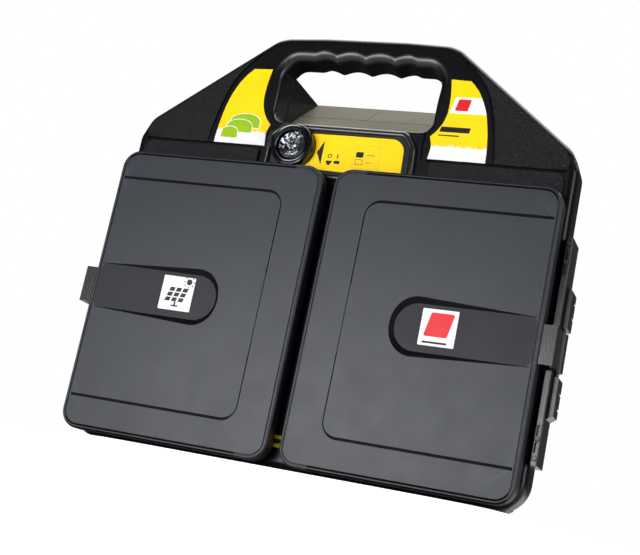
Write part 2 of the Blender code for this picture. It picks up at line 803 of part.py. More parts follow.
def hinge_bracket(name, side):
    """The fixed half of a hinge: a slotted plate on the case side with two wedge blocks."""
    inner, outer = side * (HALF_WIDTH + GAP), side * BRACKET_OUTER
    low, high = HINGE_Z - BRACKET_HALF, HINGE_Z + BRACKET_HALF
    mesh = box_mesh(
        f"{name}_hinge_bracket", (inner, BRACKET_FRONT, low), (outer, BRACKET_REAR, high)
    )
    bevel_mesh(mesh, 0.0008, 1, edge_along_z)
    bracket = add(f"{name}_hinge_bracket", mesh, "case_black")
    reach = KNUCKLE_HALF + 0.0010
    room = box_mesh(
        "arm_room",
        (side * (HALF_WIDTH - 0.001), BRACKET_FRONT - 0.002, HINGE_Z - reach),
        (side * (BRACKET_OUTER + 0.002), HINGE_Y + KNUCKLE_RADIUS + 0.0008, HINGE_Z + reach),
    )
    cut(bracket, room)
    room = box_mesh(
        "open_arm_room",
        (side * BRACKET_BRIDGE, BRACKET_FRONT, HINGE_Z - reach),
        (side * (BRACKET_OUTER + 0.002), BRACKET_REAR + 0.001, HINGE_Z + reach),
    )
    cut(bracket, room)
    for way in (-1, 1):
        join(bracket, wedge_mesh(side, way))
        for near, far in SLOTS:
            z_low, z_high = sorted((HINGE_Z + way * near, HINGE_Z + way * far))
            slot = box_mesh(
                "bracket_slot",
                (side * (HALF_WIDTH + 0.0017), BRACKET_FRONT - 0.002, z_low),
                (side * (BRACKET_OUTER - 0.0015), BRACKET_FRONT + 0.0035, z_high),
            )
            cut(bracket, slot)
        for offset in SCREW_OFFSETS:
            hole_z = HINGE_Z + way * offset
            start = (side * SCREW_X, BRACKET_FRONT - 0.002, hole_z)
            end = (side * SCREW_X, BRACKET_FRONT + 0.009, hole_z)
            cut(bracket, cylinder_mesh("bracket_screw_hole", 0.0014, start, end, 12))
    reach = PIN_HALF + GAP
    ends = (side * HINGE_X, HINGE_Y, HINGE_Z - reach), (side * HINGE_X, HINGE_Y, HINGE_Z + reach)
    cut(bracket, cylinder_mesh("pin_bore", PIN_RADIUS + PIN_PLAY, *ends, 24))
    ends = (side * HINGE_X, HINGE_Y, HINGE_Z - PIN_HALF), (
        side * HINGE_X, HINGE_Y, HINGE_Z + PIN_HALF
    )
    add(f"{name}_hinge_pin", cylinder_mesh(f"{name}_hinge_pin", PIN_RADIUS, *ends, 24), "steel")
    bracket_screws(name, side)


def wedge_mesh(side, way):
    """A block above or below the knuckle that holds the pin, with two grooves across it."""
    root = side * (BRACKET_OUTER - 0.001)
    tip = side * WEDGE_OUTER
    near = HINGE_Z + way * WEDGE_NEAR
    far = HINGE_Z + way * WEDGE_FAR
    corners = [
        (root, near, 0), (tip, near, 0.0015), (tip, far - way * 0.004, 0.002), (root, far, 0)
    ]
    if side * way < 0:
        corners.reverse()
    wedge = add(
        "wedge",
        outline_mesh("wedge", [rounded(corners, steps=2)], WEDGE_FRONT, BRACKET_REAR - 0.001),
    )
    for index in range(2):
        middle = near + way * (0.012 + index * 0.013)
        groove = box_mesh(
            "wedge_groove",
            (side * (WEDGE_OUTER - 0.0009), WEDGE_FRONT + 0.006, middle - 0.0008),
            (side * (WEDGE_OUTER + 0.002), BRACKET_REAR + 0.001, middle + 0.0008),
        )
        cut(wedge, groove)
    return applied(wedge)


def bracket_screws(name, side):
    number = 0
    for way in (-1, 1):
        for offset in SCREW_OFFSETS:
            number += 1
            z = HINGE_Z + way * offset
            screw_name = f"{name}_bracket_screw_{number}"
            head = (side * SCREW_X, BRACKET_FRONT - GAP, z)
            screw(screw_name, head, 1, 0.0022, 0.0014, 0.0011, 0.007)


def screw(name, seat, way, head_radius, head_height, shank_radius, length):
    """A pan-head screw along Y: the head's seat is at a point, the shank runs the given way."""
    profile = [
        (0.0, head_height),
        (head_radius * 0.8, head_height),
        (head_radius, head_height * 0.5),
        (head_radius, 0.0),
        (shank_radius, 0.0),
        (shank_radius, -length + shank_radius * 0.6),
        (shank_radius * 0.5, -length),
        (0.0, -length),
    ]
    x, depth, z = seat
    obj = add(name, turned(name, profile, 16), "steel", (x, FRONT + depth, z))
    obj.rotation_euler = (math.radians(90 * way), 0, 0)
    top = depth - way * head_height
    near, far = sorted((top - way * 0.001, top + way * head_height * 0.45))
    slot_half = head_radius * 0.12
    cut(
        obj,
        box_mesh(
            "driver_slot",
            (x - head_radius * 1.2, near, z - slot_half),
            (x + head_radius * 1.2, far, z + slot_half),
        ),
    )


# Battery door


def battery_door():
    """The door over the battery, its barrels, its rod and the seal it closes on."""
    corners = [(DOOR_HALF, DOOR_TOP, 0.010), (DOOR_HALF, DOOR_BOTTOM, 0.004)]
    mesh = outline_mesh("battery_door", [rounded(mirrored(corners))], DOOR_FRONT, DEPTH)
    bevel_mesh(mesh, 0.0012, 2, at_depth(DEPTH))
    door = add("battery_door", mesh, "case_black")
    tab = rounded(mirrored([(0.017, DOOR_TOP + 0.006, 0.004), (0.021, DOOR_TOP - 0.001, 0)]))
    join(door, outline_mesh("door_tab", [tab], DOOR_FRONT, DEPTH - 0.0004))
    for side in (-1, 1):
        low, high = side * (DOOR_BARREL_X - 0.010), side * (DOOR_BARREL_X + 0.010)
        start, end = (low, DOOR_HINGE_Y, DOOR_HINGE_Z), (high, DOOR_HINGE_Y, DOOR_HINGE_Z)
        join(door, cylinder_mesh("door_barrel", DOOR_BARREL, start, end, 20))
        neck = box_mesh(
            "door_neck",
            (low, DOOR_FRONT, DOOR_HINGE_Z),
            (high, DEPTH - 0.0004, DOOR_BOTTOM + 0.001),
        )
        join(door, neck)
        rib_x = side * 0.055
        rib = box_mesh(
            "door_groove",
            (rib_x - 0.001, DEPTH - 0.0008, 0.045),
            (rib_x + 0.001, DEPTH + 0.001, 0.190),
        )
        cut(door, rib)
    bore = cylinder_mesh(
        "door_bore",
        DOOR_PIN_RADIUS + PIN_PLAY,
        (-DOOR_HALF, DOOR_HINGE_Y, DOOR_HINGE_Z),
        (DOOR_HALF, DOOR_HINGE_Y, DOOR_HINGE_Z),
        16,
    )
    cut(door, bore)
    set_origin(door, (0, DOOR_HINGE_Y, DOOR_HINGE_Z))
    rod = cylinder_mesh(
        "door_hinge_rod",
        DOOR_PIN_RADIUS,
        (-DOOR_PIN_HALF, DOOR_HINGE_Y, DOOR_HINGE_Z),
        (DOOR_PIN_HALF, DOOR_HINGE_Y, DOOR_HINGE_Z),
        16,
    )
    add("door_hinge_rod", rod, "steel")
    outer = rounded(
        mirrored([(0.1032, DOOR_TOP - 0.0022, 0.008), (0.1032, DOOR_BOTTOM + 0.0022, 0.008)])
    )
    inner = rounded(
        mirrored([(0.0992, DOOR_TOP - 0.0065, 0.006), (0.0992, DOOR_BOTTOM + 0.0062, 0.006)])
    )
    seal = outline_mesh("door_seal", [outer, inner], HOUSING_REAR + GAP, DOOR_FRONT - GAP)
    add("door_seal", seal, "rubber_black")


def door_lugs(housing):
    """The small ears on the housing that carry the door's rod."""
    for side in (-1, 1):
        for offset in (-0.0130, 0.0130):
            x = side * DOOR_BARREL_X + offset
            lug = box_mesh(
                "door_lug",
                (x - 0.0025, HOUSING_REAR - 0.001, DOOR_HINGE_Z - 0.0022),
                (x + 0.0025, DOOR_HINGE_Y + 0.0022, DOOR_HINGE_Z + 0.0022),
            )
            join(housing, lug)
    bore = cylinder_mesh(
        "lug_bore",
        DOOR_PIN_RADIUS + PIN_PLAY,
        (-DOOR_HALF, DOOR_HINGE_Y, DOOR_HINGE_Z),
        (DOOR_HALF, DOOR_HINGE_Y, DOOR_HINGE_Z),
        16,
    )
    cut(housing, bore)


# Battery, electronics and terminals


def battery():
    """The battery on its tray, with a strap over it."""
    width, depth, height = BATTERY_SIZE
    low = TRAY_TOP + GAP
    rear = BATTERY_FRONT + depth
    mesh = box_mesh("battery", (-width / 2, BATTERY_FRONT, low), (width / 2, rear, low + height))
    body = add("battery", bevel_mesh(mesh, 0.003, 2, lambda edge: True), "battery_grey")
    for side in (-1, 1):
        x = side * 0.075
        post = box_mesh(
            "post",
            (x - 0.006, 0.045, low + height - 0.001),
            (x + 0.006, 0.057, low + height + 0.007),
        )
        join(body, post)
    tray = box_mesh(
        "battery_tray", (-0.096, 0.0265, TRAY_TOP - 0.0024), (0.096, 0.1125, TRAY_TOP)
    )
    add("battery_tray", tray, "case_black")
    top = low + height + GAP
    front, back = BATTERY_FRONT - GAP, rear + GAP
    strap = [
        (front - 0.0012, low),
        (front, low),
        (front, top),
        (back, top),
        (back, low),
        (back + 0.0012, low),
        (back + 0.0012, top + 0.0012),
        (front - 0.0012, top + 0.0012),
    ]
    add("battery_strap", side_mesh("battery_strap", strap, -0.014, 0.014), "rubber_black")


def electronics():
    """The board behind the console, with what is mounted on it."""
    front, rear = BOARD_FRONT, BOARD_FRONT + BOARD_DEPTH
    board = box_mesh("circuit_board", (-0.074, front, 0.206), (0.074, rear, 0.304))
    add("circuit_board", board, "board_green")
    near = rear + GAP
    core = box_mesh("pulse_transformer", (-0.068, near, 0.214), (-0.018, near + 0.034, 0.258))
    core = add("pulse_transformer", bevel_mesh(core, 0.002, 1, lambda edge: True), "battery_grey")
    coil = box_mesh("coil", (-0.059, near + 0.002, 0.209), (-0.027, near + 0.040, 0.263))
    join(core, bevel_mesh(coil, 0.006, 2, lambda edge: True))
    radius = 0.0150
    centre = near + radius
    can = cylinder_mesh(
        "storage_capacitor", radius, (0.002, centre, 0.232), (0.052, centre, 0.232), 28
    )
    add("storage_capacitor", can, "board_green")
    regulator = box_mesh("charge_regulator", (0.012, near, 0.262), (0.052, near + 0.012, 0.290))
    regulator = add("charge_regulator", regulator, "steel")
    for index in range(4):
        z = 0.266 + index * 0.006
        fin = box_mesh(
            "regulator_fin_gap", (0.010, near + 0.004, z), (0.054, near + 0.014, z + 0.003)
        )
        cut(regulator, fin)


def lead(name, points, slot):
    """An insulated lead along a smooth route through its points (x, depth, z)."""
    route = [Vector((x, depth + FRONT, z)) for x, depth, z in points]
    curve = bpy.data.curves.new(name, "CURVE")
    curve.dimensions = "3D"
    curve.bevel_depth = LEAD_RADIUS
    curve.bevel_resolution = 2
    curve.use_fill_caps = True
    curve.materials.append(material(slot))
    smooth = []
    for index in range(len(route) - 1):
        before = route[max(index - 1, 0)]
        after = route[min(index + 2, len(route) - 1)]
        for step in range(4):
            smooth.append(between(before, route[index], route[index + 1], after, step / 4))
    smooth.append(route[-1])
    spline = curve.splines.new("POLY")
    spline.points.add(len(smooth) - 1)
    for point, place in zip(spline.points, smooth):
        point.co = (*place, 1)
    obj = bpy.data.objects.new(name, curve)
    PARTS.objects.link(obj)


def between(before, start, end, after, t):
    """A point on the Catmull-Rom curve from start to end."""
    slope_in = (end - before) / 2
    slope_out = (after - start) / 2
    return (
        start * (2 * t**3 - 3 * t**2 + 1)
        + slope_in * (t**3 - 2 * t**2 + t)
        + end * (3 * t**2 - 2 * t**3)
        + slope_out * (t**3 - t**2)
    )


def leads():
    """Battery leads up to the board, and the lead from the coil to the fence stud."""
    post_top = TRAY_TOP + GAP + BATTERY_SIZE[2] + 0.007 + GAP
    board_rear = BOARD_FRONT + BOARD_DEPTH + GAP
    for name, side, slot in (
        ("positive_lead", 1, "red_plastic"), ("negative_lead", -1, "rubber_black")
    ):
        points = [
            (side * 0.075, 0.051, post_top + 0.0002),
            (side * 0.076, 0.051, post_top + 0.008),
            (side * 0.074, 0.044, post_top + 0.018),
            (side * 0.070, board_rear + 0.003, post_top + 0.022),
            (side * 0.070, board_rear + 0.003, post_top + 0.032),
        ]
        lead(name, points, slot)
    fence_z = TERMINALS["fence"]
    points = [
        (-0.0690, 0.052, fence_z),
        (-0.090, 0.056, fence_z + 0.006),
        (-0.120, 0.075, fence_z + 0.010),
        (-0.150, 0.092, fence_z + 0.004),
        (-0.1665, TERMINAL_Y, fence_z),
    ]
    lead("output_lead", points, "red_plastic")


def terminals():
    """The fence and earth terminals: a threaded stud with a fluted knob on it."""
    for name, slot in (("fence", "red_plastic"), ("earth", "green_plastic")):
        z = TERMINALS[name]
        inner = (TERMINAL_X + 0.018, TERMINAL_Y, z)
        outer = (TERMINAL_X - 0.0205, TERMINAL_Y, z)
        stud = cylinder_mesh(f"{name}_terminal_stud", 0.0030, inner, outer, 20)
        stud = add(f"{name}_terminal_stud", stud, "brass")
        seat_in, seat_out = (TERMINAL_X - GAP, TERMINAL_Y, z), (
            TERMINAL_X - 0.0025, TERMINAL_Y, z
        )
        join(stud, cylinder_mesh("stud_flange", 0.0075, seat_in, seat_out, 24))
        near, far = (TERMINAL_X - 0.0045, TERMINAL_Y, z), (TERMINAL_X - 0.0195, TERMINAL_Y, z)
        mesh = cylinder_mesh(
            f"{name}_terminal_knob", KNOB_RADIUS, near, far, 32, KNOB_RADIUS * 0.9
        )
        knob = add(f"{name}_terminal_knob", mesh, slot)
        cut(
            knob,
            cylinder_mesh(
                "knob_bore", 0.0031, (near[0] + 0.01, *near[1:]), (far[0] - 0.01, *far[1:]), 20
            ),
        )
        for index in range(6):
            angle = math.tau * index / 6
            y = TERMINAL_Y + math.cos(angle) * (KNOB_RADIUS + 0.0012)
            flute_z = z + math.sin(angle) * (KNOB_RADIUS + 0.0012)
            ends = (near[0] + 0.002, y, flute_z), (far[0] - 0.002, y, flute_z)
            cut(knob, cylinder_mesh("knob_flute", 0.0030, *ends, 12))
        set_origin(knob, near)


def case_screws(housing):
    """The screws that hold the housing to the shell, at the corners of its back."""
    for number, (x, z) in enumerate(
        ((-0.150, 0.050), (0.150, 0.050), (-0.150, 0.262), (0.150, 0.262)), 1
    ):
        hole = cylinder_mesh(
            "case_screw_hole",
            0.0023,
            (x, HOUSING_REAR - 0.01, z),
            (x, HOUSING_REAR + 0.01, z),
            16,
        )
        cut(housing, hole)
        screw(
            f"case_screw_{number}", (x, HOUSING_REAR + GAP, z), -1, 0.0045, 0.0022, 0.0018, 0.010
        )


def build():
    front_shell()
    housing = rear_housing()
    door_lugs(housing)
    case_screws(housing)
    case_gasket()
    console()
    shell_labels()
    for name, side in (("left_wing", -1), ("right_wing", 1)):
        wing(name, side)
    for name, side in (("left", -1), ("right", 1)):
        hinge_bracket(name, side)
    battery_door()
    battery()
    electronics()
    leads()
    terminals()


build()
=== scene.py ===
"""Looks for the portable solar fence energizer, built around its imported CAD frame.

The front faces -Y, +X is to the viewer's right and +Z is up. Units are metres.
Outlines are drawn in X and Z, and "depth" is counted from the front of the closed
wings towards the back.
"""

import math
import random

import bmesh
import bpy
from mathutils import Matrix, Vector
from mathutils.geometry import delaunay_2d_cdt


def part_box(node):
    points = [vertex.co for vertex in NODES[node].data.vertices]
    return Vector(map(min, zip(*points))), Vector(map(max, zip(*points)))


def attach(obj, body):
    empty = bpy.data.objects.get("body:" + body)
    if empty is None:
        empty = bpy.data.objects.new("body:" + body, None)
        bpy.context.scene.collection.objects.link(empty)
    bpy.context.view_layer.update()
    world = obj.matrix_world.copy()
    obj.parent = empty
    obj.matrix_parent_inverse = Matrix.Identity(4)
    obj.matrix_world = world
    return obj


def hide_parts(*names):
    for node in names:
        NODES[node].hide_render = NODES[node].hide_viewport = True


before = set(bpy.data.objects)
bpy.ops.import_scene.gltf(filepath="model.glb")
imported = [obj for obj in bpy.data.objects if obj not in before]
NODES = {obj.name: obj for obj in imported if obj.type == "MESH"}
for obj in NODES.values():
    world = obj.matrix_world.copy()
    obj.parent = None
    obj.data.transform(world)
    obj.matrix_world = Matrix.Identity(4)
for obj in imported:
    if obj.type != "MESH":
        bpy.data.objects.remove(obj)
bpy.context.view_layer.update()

LEFT_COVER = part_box("left_wing_cover")
RIGHT_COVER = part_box("right_wing_cover")
SHELL_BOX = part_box("front_shell")
COLLAR_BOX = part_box("button_collar")

FRONT = LEFT_COVER[0].y
SMOOTH_ANGLE = math.radians(32)
LEVEL = 0.9994

# Wings
WING_INNER = RIGHT_COVER[0].x
WING_OUTER = RIGHT_COVER[1].x
WING_BOTTOM = RIGHT_COVER[0].z
WING_TOP = RIGHT_COVER[1].z
WING_REAR = RIGHT_COVER[1].y - FRONT
WING_CORNER = 0.017
STEP_INNER = 0.04
STEP_LOW = 0.0325
STEP_HIGH = 0.2415
STEP_DEPTH = 0.0009
STEP_BROAD = 0.0026
STEP_NARROW = 0.001
TONGUE_LENGTH = 0.1287
TONGUE_HALF = 0.0207
TONGUE_DEPTH = 0.0038
TONGUE_END_DRAFT = 0.0038
TONGUE_SIDE_DRAFT = 0.0066
TONGUE_ABOVE = 0.0014
HINGE_Z = 0.136

# Case
SHELL_FRONT = 0.022
SHELL_REAR = 0.052
HALF_WIDTH = 0.213
HEIGHT = SHELL_BOX[1].z
WALL = 0.003
CUT_START = 0.018
OPENING_HALF = 0.0775
OPENING_LOW = 0.3165
OPENING_HIGH = 0.3757
GRIP_HALF = 0.089
GRIP_MIDDLE = 0.002
FINGER_PITCH = 0.0285
FINGER_DEPTH = 0.0044
SEAM_X = -0.009
SEAM_HALF = 0.0003
GROOVE_Z = 0.29
BAND_INNER, BAND_OUTER = 0.0825, 0.203
BAND_LOW, BAND_HIGH = 0.262, 0.288

# Console and labels
BUTTON_X = (COLLAR_BOX[0].x + COLLAR_BOX[1].x) / 2
BUTTON_Z = (COLLAR_BOX[0].z + COLLAR_BOX[1].z) / 2
FACET_DEPTH = 0.0004
LABEL_THICKNESS = 0.0008
LABEL_INNER, LABEL_OUTER = 0.07, 0.14
LABEL_FOOT = 0.285
MEADOW_TOP = 0.303

# Wing details
CELL_MARGIN = 0.0095
CELL_GAP = 0.0022
RIBS = 5
RIB_PITCH = 0.0022

# Floor
FLOOR_SLOPE = 0.085
FOOT_HALF_WIDTH = 0.195
FOOT_HALF_DEPTH = 0.062


# Materials


class Nodes:
    """Short calls for building one material's node tree."""

    def __init__(self, name):
        self.material = bpy.data.materials.new(name)
        self.material.use_nodes = True
        self.tree = self.material.node_tree
        self.shader = self.tree.nodes["Principled BSDF"]
        self.place = self.add("ShaderNodeTexCoord").outputs["Object"]

    def add(self, kind, **settings):
        node = self.tree.nodes.new(kind)
        for key, value in settings.items():
            setattr(node, key, value)
        return node

    def link(self, source, target):
        self.tree.links.new(source, target)

    def noise(self, size, detail=3.0, stretch=None):
        """A cloudy pattern whose blotches are about this many metres wide."""
        source = self.place
        if stretch:
            mapping = self.add("ShaderNodeMapping")
            mapping.inputs["Scale"].default_value = stretch
            self.link(source, mapping.inputs["Vector"])
            source = mapping.outputs["Vector"]
        node = self.add("ShaderNodeTexNoise")
        node.inputs["Scale"].default_value = 1 / size
        node.inputs["Detail"].default_value = detail
        self.link(source, node.inputs["Vector"])
        return node.outputs["Fac"]

    def ramp(self, source, stops):
        """Colours along a pattern, from (position, colour) stops."""
        node = self.add("ShaderNodeValToRGB")
        elements = node.color_ramp.elements
        while len(elements) < len(stops):
            elements.new(0.5)
        for element, (position, color) in zip(elements, stops):
            element.position = position
            element.color = (*color, 1.0)
        self.link(source, node.inputs["Fac"])
        return node.outputs["Color"]

    def between(self, source, low, high, start=0.3, end=0.7):
        """A number that goes from low to high as the pattern goes from start to end."""
        node = self.add("ShaderNodeMapRange")
        ends = {"From Min": start, "From Max": end, "To Min": low, "To Max": high}
        for key, value in ends.items():
            node.inputs[key].default_value = value
        self.link(source, node.inputs["Value"])
        return node.outputs["Result"]

    def mix(self, share, first, second):
        node = self.add("ShaderNodeMix", data_type="RGBA")
        self.link(share, node.inputs["Factor"])
        for value, socket in ((first, node.inputs["A"]), (second, node.inputs["B"])):
            if isinstance(value, tuple):
                socket.default_value = (*value, 1.0)
            else:
                self.link(value, socket)
        return node.outputs["Result"]

    def bump(self, source, height, strength=1.0, below=None):
        node = self.add("ShaderNodeBump")
        node.inputs["Strength"].default_value = strength
        node.inputs["Distance"].default_value = height
        self.link(source, node.inputs["Height"])
        if below:
            self.link(below, node.inputs["Normal"])
        return node.outputs["Normal"]

    def set(self, **values):
        """Sets shader sockets, by name with _ for a space, to a number, colour or output."""
        for key, value in values.items():
            socket = self.shader.inputs[key.replace("_", " ")]
            if isinstance(value, bpy.types.NodeSocket):
                self.link(value, socket)
            elif isinstance(value, tuple):
                socket.default_value = (*value, 1.0)
            else:
                socket.default_value = value


def shade(color, factor):
    return tuple(min(1.0, channel * factor) for channel in color)


def plastic(name, color, rough, grain=0.0007, height=0.00004, wear=0.35, specular=0.5):
    """Moulded plastic: fine grain, cloudy gloss, and edges rubbed a little paler."""
    n = Nodes(name)
    cloud = n.noise(0.045, 4.0)
    tone = n.ramp(cloud, [(0.3, shade(color, 0.94)), (0.7, shade(color, 1.06))])
    edge = n.between(n.add("ShaderNodeNewGeometry").outputs["Pointiness"], 0, wear, 0.53, 0.62)
    worn = n.mix(edge, tone, shade(color, 3.0))
    speck = n.noise(grain, 2.0)
    gloss = n.between(n.noise(0.02, 5.0), rough - 0.02, rough + 0.02)
    coarse = n.bump(n.noise(0.0042, 3.0), height * 1.5, 0.35)
    n.set(Base_Color=worn, Roughness=gloss, Normal=n.bump(speck, height, 1.0, coarse))
    n.set(Specular_IOR_Level=specular)
    return n.material


def leather(name, color, rough, specular):
    """Moulded plastic with a fine pebbled skin."""
    n = Nodes(name)
    cells = n.add("ShaderNodeTexVoronoi", feature="DISTANCE_TO_EDGE")
    cells.inputs["Scale"].default_value = 900
    n.link(n.place, cells.inputs["Vector"])
    pebble = n.between(cells.outputs["Distance"], 0.0, 1.0, 0.0, 0.25)
    tone = n.ramp(n.noise(0.03, 5.0), [(0.3, shade(color, 0.8)), (0.7, shade(color, 1.3))])
    grain = n.bump(pebble, 0.00016, 0.9, n.bump(n.noise(0.0024, 3.0), 0.0001, 0.6))
    gloss = n.between(n.noise(0.004, 3.0), rough - 0.07, rough + 0.07)
    n.set(Base_Color=tone, Roughness=gloss, Normal=grain, Specular_IOR_Level=specular)
    return n.material


def ink(name, color):
    """Printed film: nearly even colour under a satin laminate with faint orange peel."""
    n = Nodes(name)
    tone = n.ramp(n.noise(0.02, 3.0), [(0.3, shade(color, 0.96)), (0.7, shade(color, 1.03))])
    gloss = n.between(n.noise(0.012, 4.0), 0.34, 0.43)
    n.set(Base_Color=tone, Roughness=gloss, Normal=n.bump(n.noise(0.0016, 2.0), 0.00002, 0.5))
    n.set(Coat_Weight=0.08, Specular_IOR_Level=0.25)
    return n.material


def metal(name, color, rough):
    """Drawn or turned metal with fine lines and slightly duller patches."""
    n = Nodes(name)
    lines = n.noise(0.004, 2.0, stretch=(1.0, 14.0, 1.0))
    tone = n.ramp(n.noise(0.01, 4.0), [(0.3, shade(color, 0.8)), (0.7, shade(color, 1.1))])
    gloss = n.between(n.noise(0.006, 4.0), rough - 0.06, rough + 0.1)
    n.set(Base_Color=tone, Roughness=gloss, Normal=n.bump(lines, 0.00003, 0.6))
    n.set(Metallic=1.0)
    return n.material


def rubber(name, color):
    n = Nodes(name)
    tone = n.ramp(n.noise(0.008, 5.0), [(0.3, shade(color, 0.7)), (0.7, shade(color, 1.5))])
    gloss = n.between(n.noise(0.004, 3.0), 0.72, 0.9)
    n.set(Base_Color=tone, Roughness=gloss, Normal=n.bump(n.noise(0.0008, 3.0), 0.00008, 0.8))
    return n.material


def clear(name, color, rough):
    """Clear moulded plastic with faint flow marks."""
    n = Nodes(name)
    marks = n.noise(0.003, 3.0)
    n.set(Base_Color=n.ramp(marks, [(0.3, shade(color, 0.93)), (0.7, color)]))
    n.set(Roughness=n.between(marks, rough, rough + 0.04), Normal=n.bump(marks, 0.00004, 0.4))
    n.set(Transmission_Weight=1.0, IOR=1.49)
    return n.material


def silicon(name):
    """Crystalline solar cells under glass."""
    n = Nodes(name)
    flakes = n.add("ShaderNodeTexVoronoi")
    flakes.inputs["Scale"].default_value = 190
    n.link(n.place, flakes.inputs["Vector"])
    stops = [(0.2, (0.006, 0.014, 0.06)), (0.8, (0.016, 0.04, 0.13))]
    tone = n.ramp(flakes.outputs["Color"], stops)
    n.set(Base_Color=tone, Roughness=n.between(n.noise(0.01, 3.0), 0.18, 0.26))
    n.set(Coat_Weight=1.0, Coat_Roughness=0.04)
    return n.material


SATIN = 0.00001
POLISHED = 0.000006

CASE_BLACK = plastic("case_plastic", (0.003, 0.003, 0.004), 0.28, wear=0.25, specular=0.24)
CASE_SMOOTH = plastic("case_smooth", (0.006, 0.006, 0.0065), 0.3, height=SATIN, wear=0.2)
GRIP_BLACK = plastic(
    "grip_plastic", (0.003, 0.003, 0.004), 0.3, height=SATIN, wear=0.2, specular=0.45
)
PANEL_LEATHER = leather("case_leather", (0.0035, 0.0036, 0.005), 0.44, 0.24)
WING_PLASTIC = plastic("wing_plastic", (0.012, 0.0145, 0.02), 0.44, 0.0008, 0.00007, 0.3, 0.42)
# A darker copy of the wing plastic: painted shade on the pocket's floor.
TONGUE_PAINTED_SHADE = plastic(
    "tongue_painted_shade", (0.007, 0.008, 0.011), 0.46, 0.0008, 0.00007, 0.3, 0.26
)
# Near-black with little sheen: painted shade for the pocket walls, the step grooves and the
# grip's underside.
GROOVE_PAINTED_SHADE = plastic(
    "painted_shade_black", (0.002, 0.002, 0.0024), 0.6, height=SATIN, wear=0.0, specular=0.1
)
# Pale taupe with little sheen: a painted reflection of the light above on the recess floor.
RECESS_PAINTED_REFLECTION = plastic("recess_painted_reflection", (0.13, 0.116, 0.084), 0.7, wear=0.05, specular=0.05)
HINGE_BLACK = plastic("hinge_plastic", (0.009, 0.0085, 0.0085), 0.26, height=SATIN, wear=0.4)
GLOSS_BLACK = plastic("gloss_plastic", (0.004, 0.004, 0.0045), 0.14, height=POLISHED, wear=0.2)
RUBBER = rubber("soft_rubber", (0.012, 0.012, 0.012))
YELLOW = ink("print_yellow", (1.0, 0.66, 0.0))
WHITE = ink("print_white", (0.86, 0.86, 0.87))
BLACK_INK = ink("print_black", (0.01, 0.01, 0.01))
GREEN = ink("print_green", (0.3, 0.5, 0.006))
RED = ink("print_red", (0.7, 0.012, 0.02))
GREY_INK = ink("print_grey", (0.35, 0.3, 0.12))
STEEL = metal("bright_steel", (0.55, 0.55, 0.57), 0.28)
DARK_STEEL = metal("black_steel", (0.045, 0.045, 0.05), 0.3)
BRASS = metal("brass", (0.72, 0.5, 0.2), 0.28)
CLEAR = clear("clear_lens", (0.9, 0.93, 0.95), 0.02)
MIRROR = metal("lens_reflector", (0.17, 0.175, 0.19), 0.24)
SILICON = silicon("solar_cell")
SILVER = metal("cell_busbar", (0.75, 0.76, 0.78), 0.3)
BATTERY_GREY = plastic("battery_case", (0.1, 0.105, 0.115), 0.5)
BOARD_GREEN = plastic("board_green", (0.01, 0.09, 0.03), 0.4, wear=0.1)
RED_PLASTIC = plastic("red_plastic", (0.42, 0.012, 0.01), 0.35, height=SATIN, wear=0.15)
GREEN_PLASTIC = plastic("green_plastic", (0.012, 0.16, 0.035), 0.35, height=SATIN, wear=0.15)

SLOT_MATERIALS = {
    "case_black": CASE_BLACK,
    "wing_black": WING_PLASTIC,
    "gloss_black": GLOSS_BLACK,
    "rubber_black": RUBBER,
    "label_yellow": YELLOW,
    "label_white": WHITE,
    "clear_plastic": CLEAR,
    "solar_blue": SILICON,
    "steel": STEEL,
    "brass": BRASS,
    "board_green": BOARD_GREEN,
    "battery_grey": BATTERY_GREY,
    "red_plastic": RED_PLASTIC,
    "green_plastic": GREEN_PLASTIC,
}


# Outlines


def rounded(points, steps=8):
    """The outline through (x, z, radius) corners, with each corner as an arc."""
    outline = []
    for index, (x, z, radius) in enumerate(points):
        here = Vector((x, z))
        if radius <= 0:
            outline.append(here)
            continue
        before = (Vector(points[index - 1][:2]) - here).normalized()
        after = (Vector(points[(index + 1) % len(points)][:2]) - here).normalized()
        half = before.angle(after) / 2
        centre = here + (before + after).normalized() * radius / math.sin(half)
        reach = radius / math.tan(half)
        start = here + before * reach - centre
        sweep = start.angle_signed(here + after * reach - centre)
        for step in range(steps + 1):
            outline.append(centre + Matrix.Rotation(-sweep * step / steps, 2) @ start)
    return outline


def mirrored(points):
    return points + [(-x, z, radius) for x, z, radius in reversed(points)]


def flipped(outline, side):
    return [Vector((side * x, z)) for x, z in outline]


def area(outline):
    return sum(a.cross(b) for a, b in zip(outline, outline[1:] + outline[:1])) / 2


def offset(outline, distance):
    """The outline moved inwards; distance is one number, or one for each point."""
    count = len(outline)
    turn = 1 if area(outline) > 0 else -1
    moved = []
    for index, here in enumerate(outline):
        before = (here - outline[index - 1]).normalized()
        after = (outline[(index + 1) % count] - here).normalized()
        along = (before + after).normalized()
        inward = Vector((-along.y, along.x)) * turn
        stretch = max(0.5, along.dot(after))
        step = distance[index] if isinstance(distance, list) else distance
        moved.append(here + inward * step / stretch)
    return moved


def resampled(outline, spacing):
    """The outline with points no further apart than spacing."""
    points = []
    for here, following in zip(outline, outline[1:] + outline[:1]):
        pieces = max(1, math.ceil((following - here).length / spacing))
        points += [here.lerp(following, piece / pieces) for piece in range(pieces)]
    return points


def smoothstep(value, start, end):
    t = min(1.0, max(0.0, (value - start) / (end - start)))
    return t * t * (3 - 2 * t)


def curve_through(points, steps=10):
    """A smooth open line through points."""
    points = [Vector(point) for point in points]
    line = []
    for index in range(len(points) - 1):
        before, start = points[max(index - 1, 0)], points[index]
        end, after = points[index + 1], points[min(index + 2, len(points) - 1)]
        for step in range(steps):
            t = step / steps
            line.append(
                start * (2 * t**3 - 3 * t**2 + 1)
                + (end - before) / 2 * (t**3 - 2 * t**2 + t)
                + end * (3 * t**2 - 2 * t**3)
                + (after - start) / 2 * (t**3 - t**2)
            )
    return line + [points[-1]]


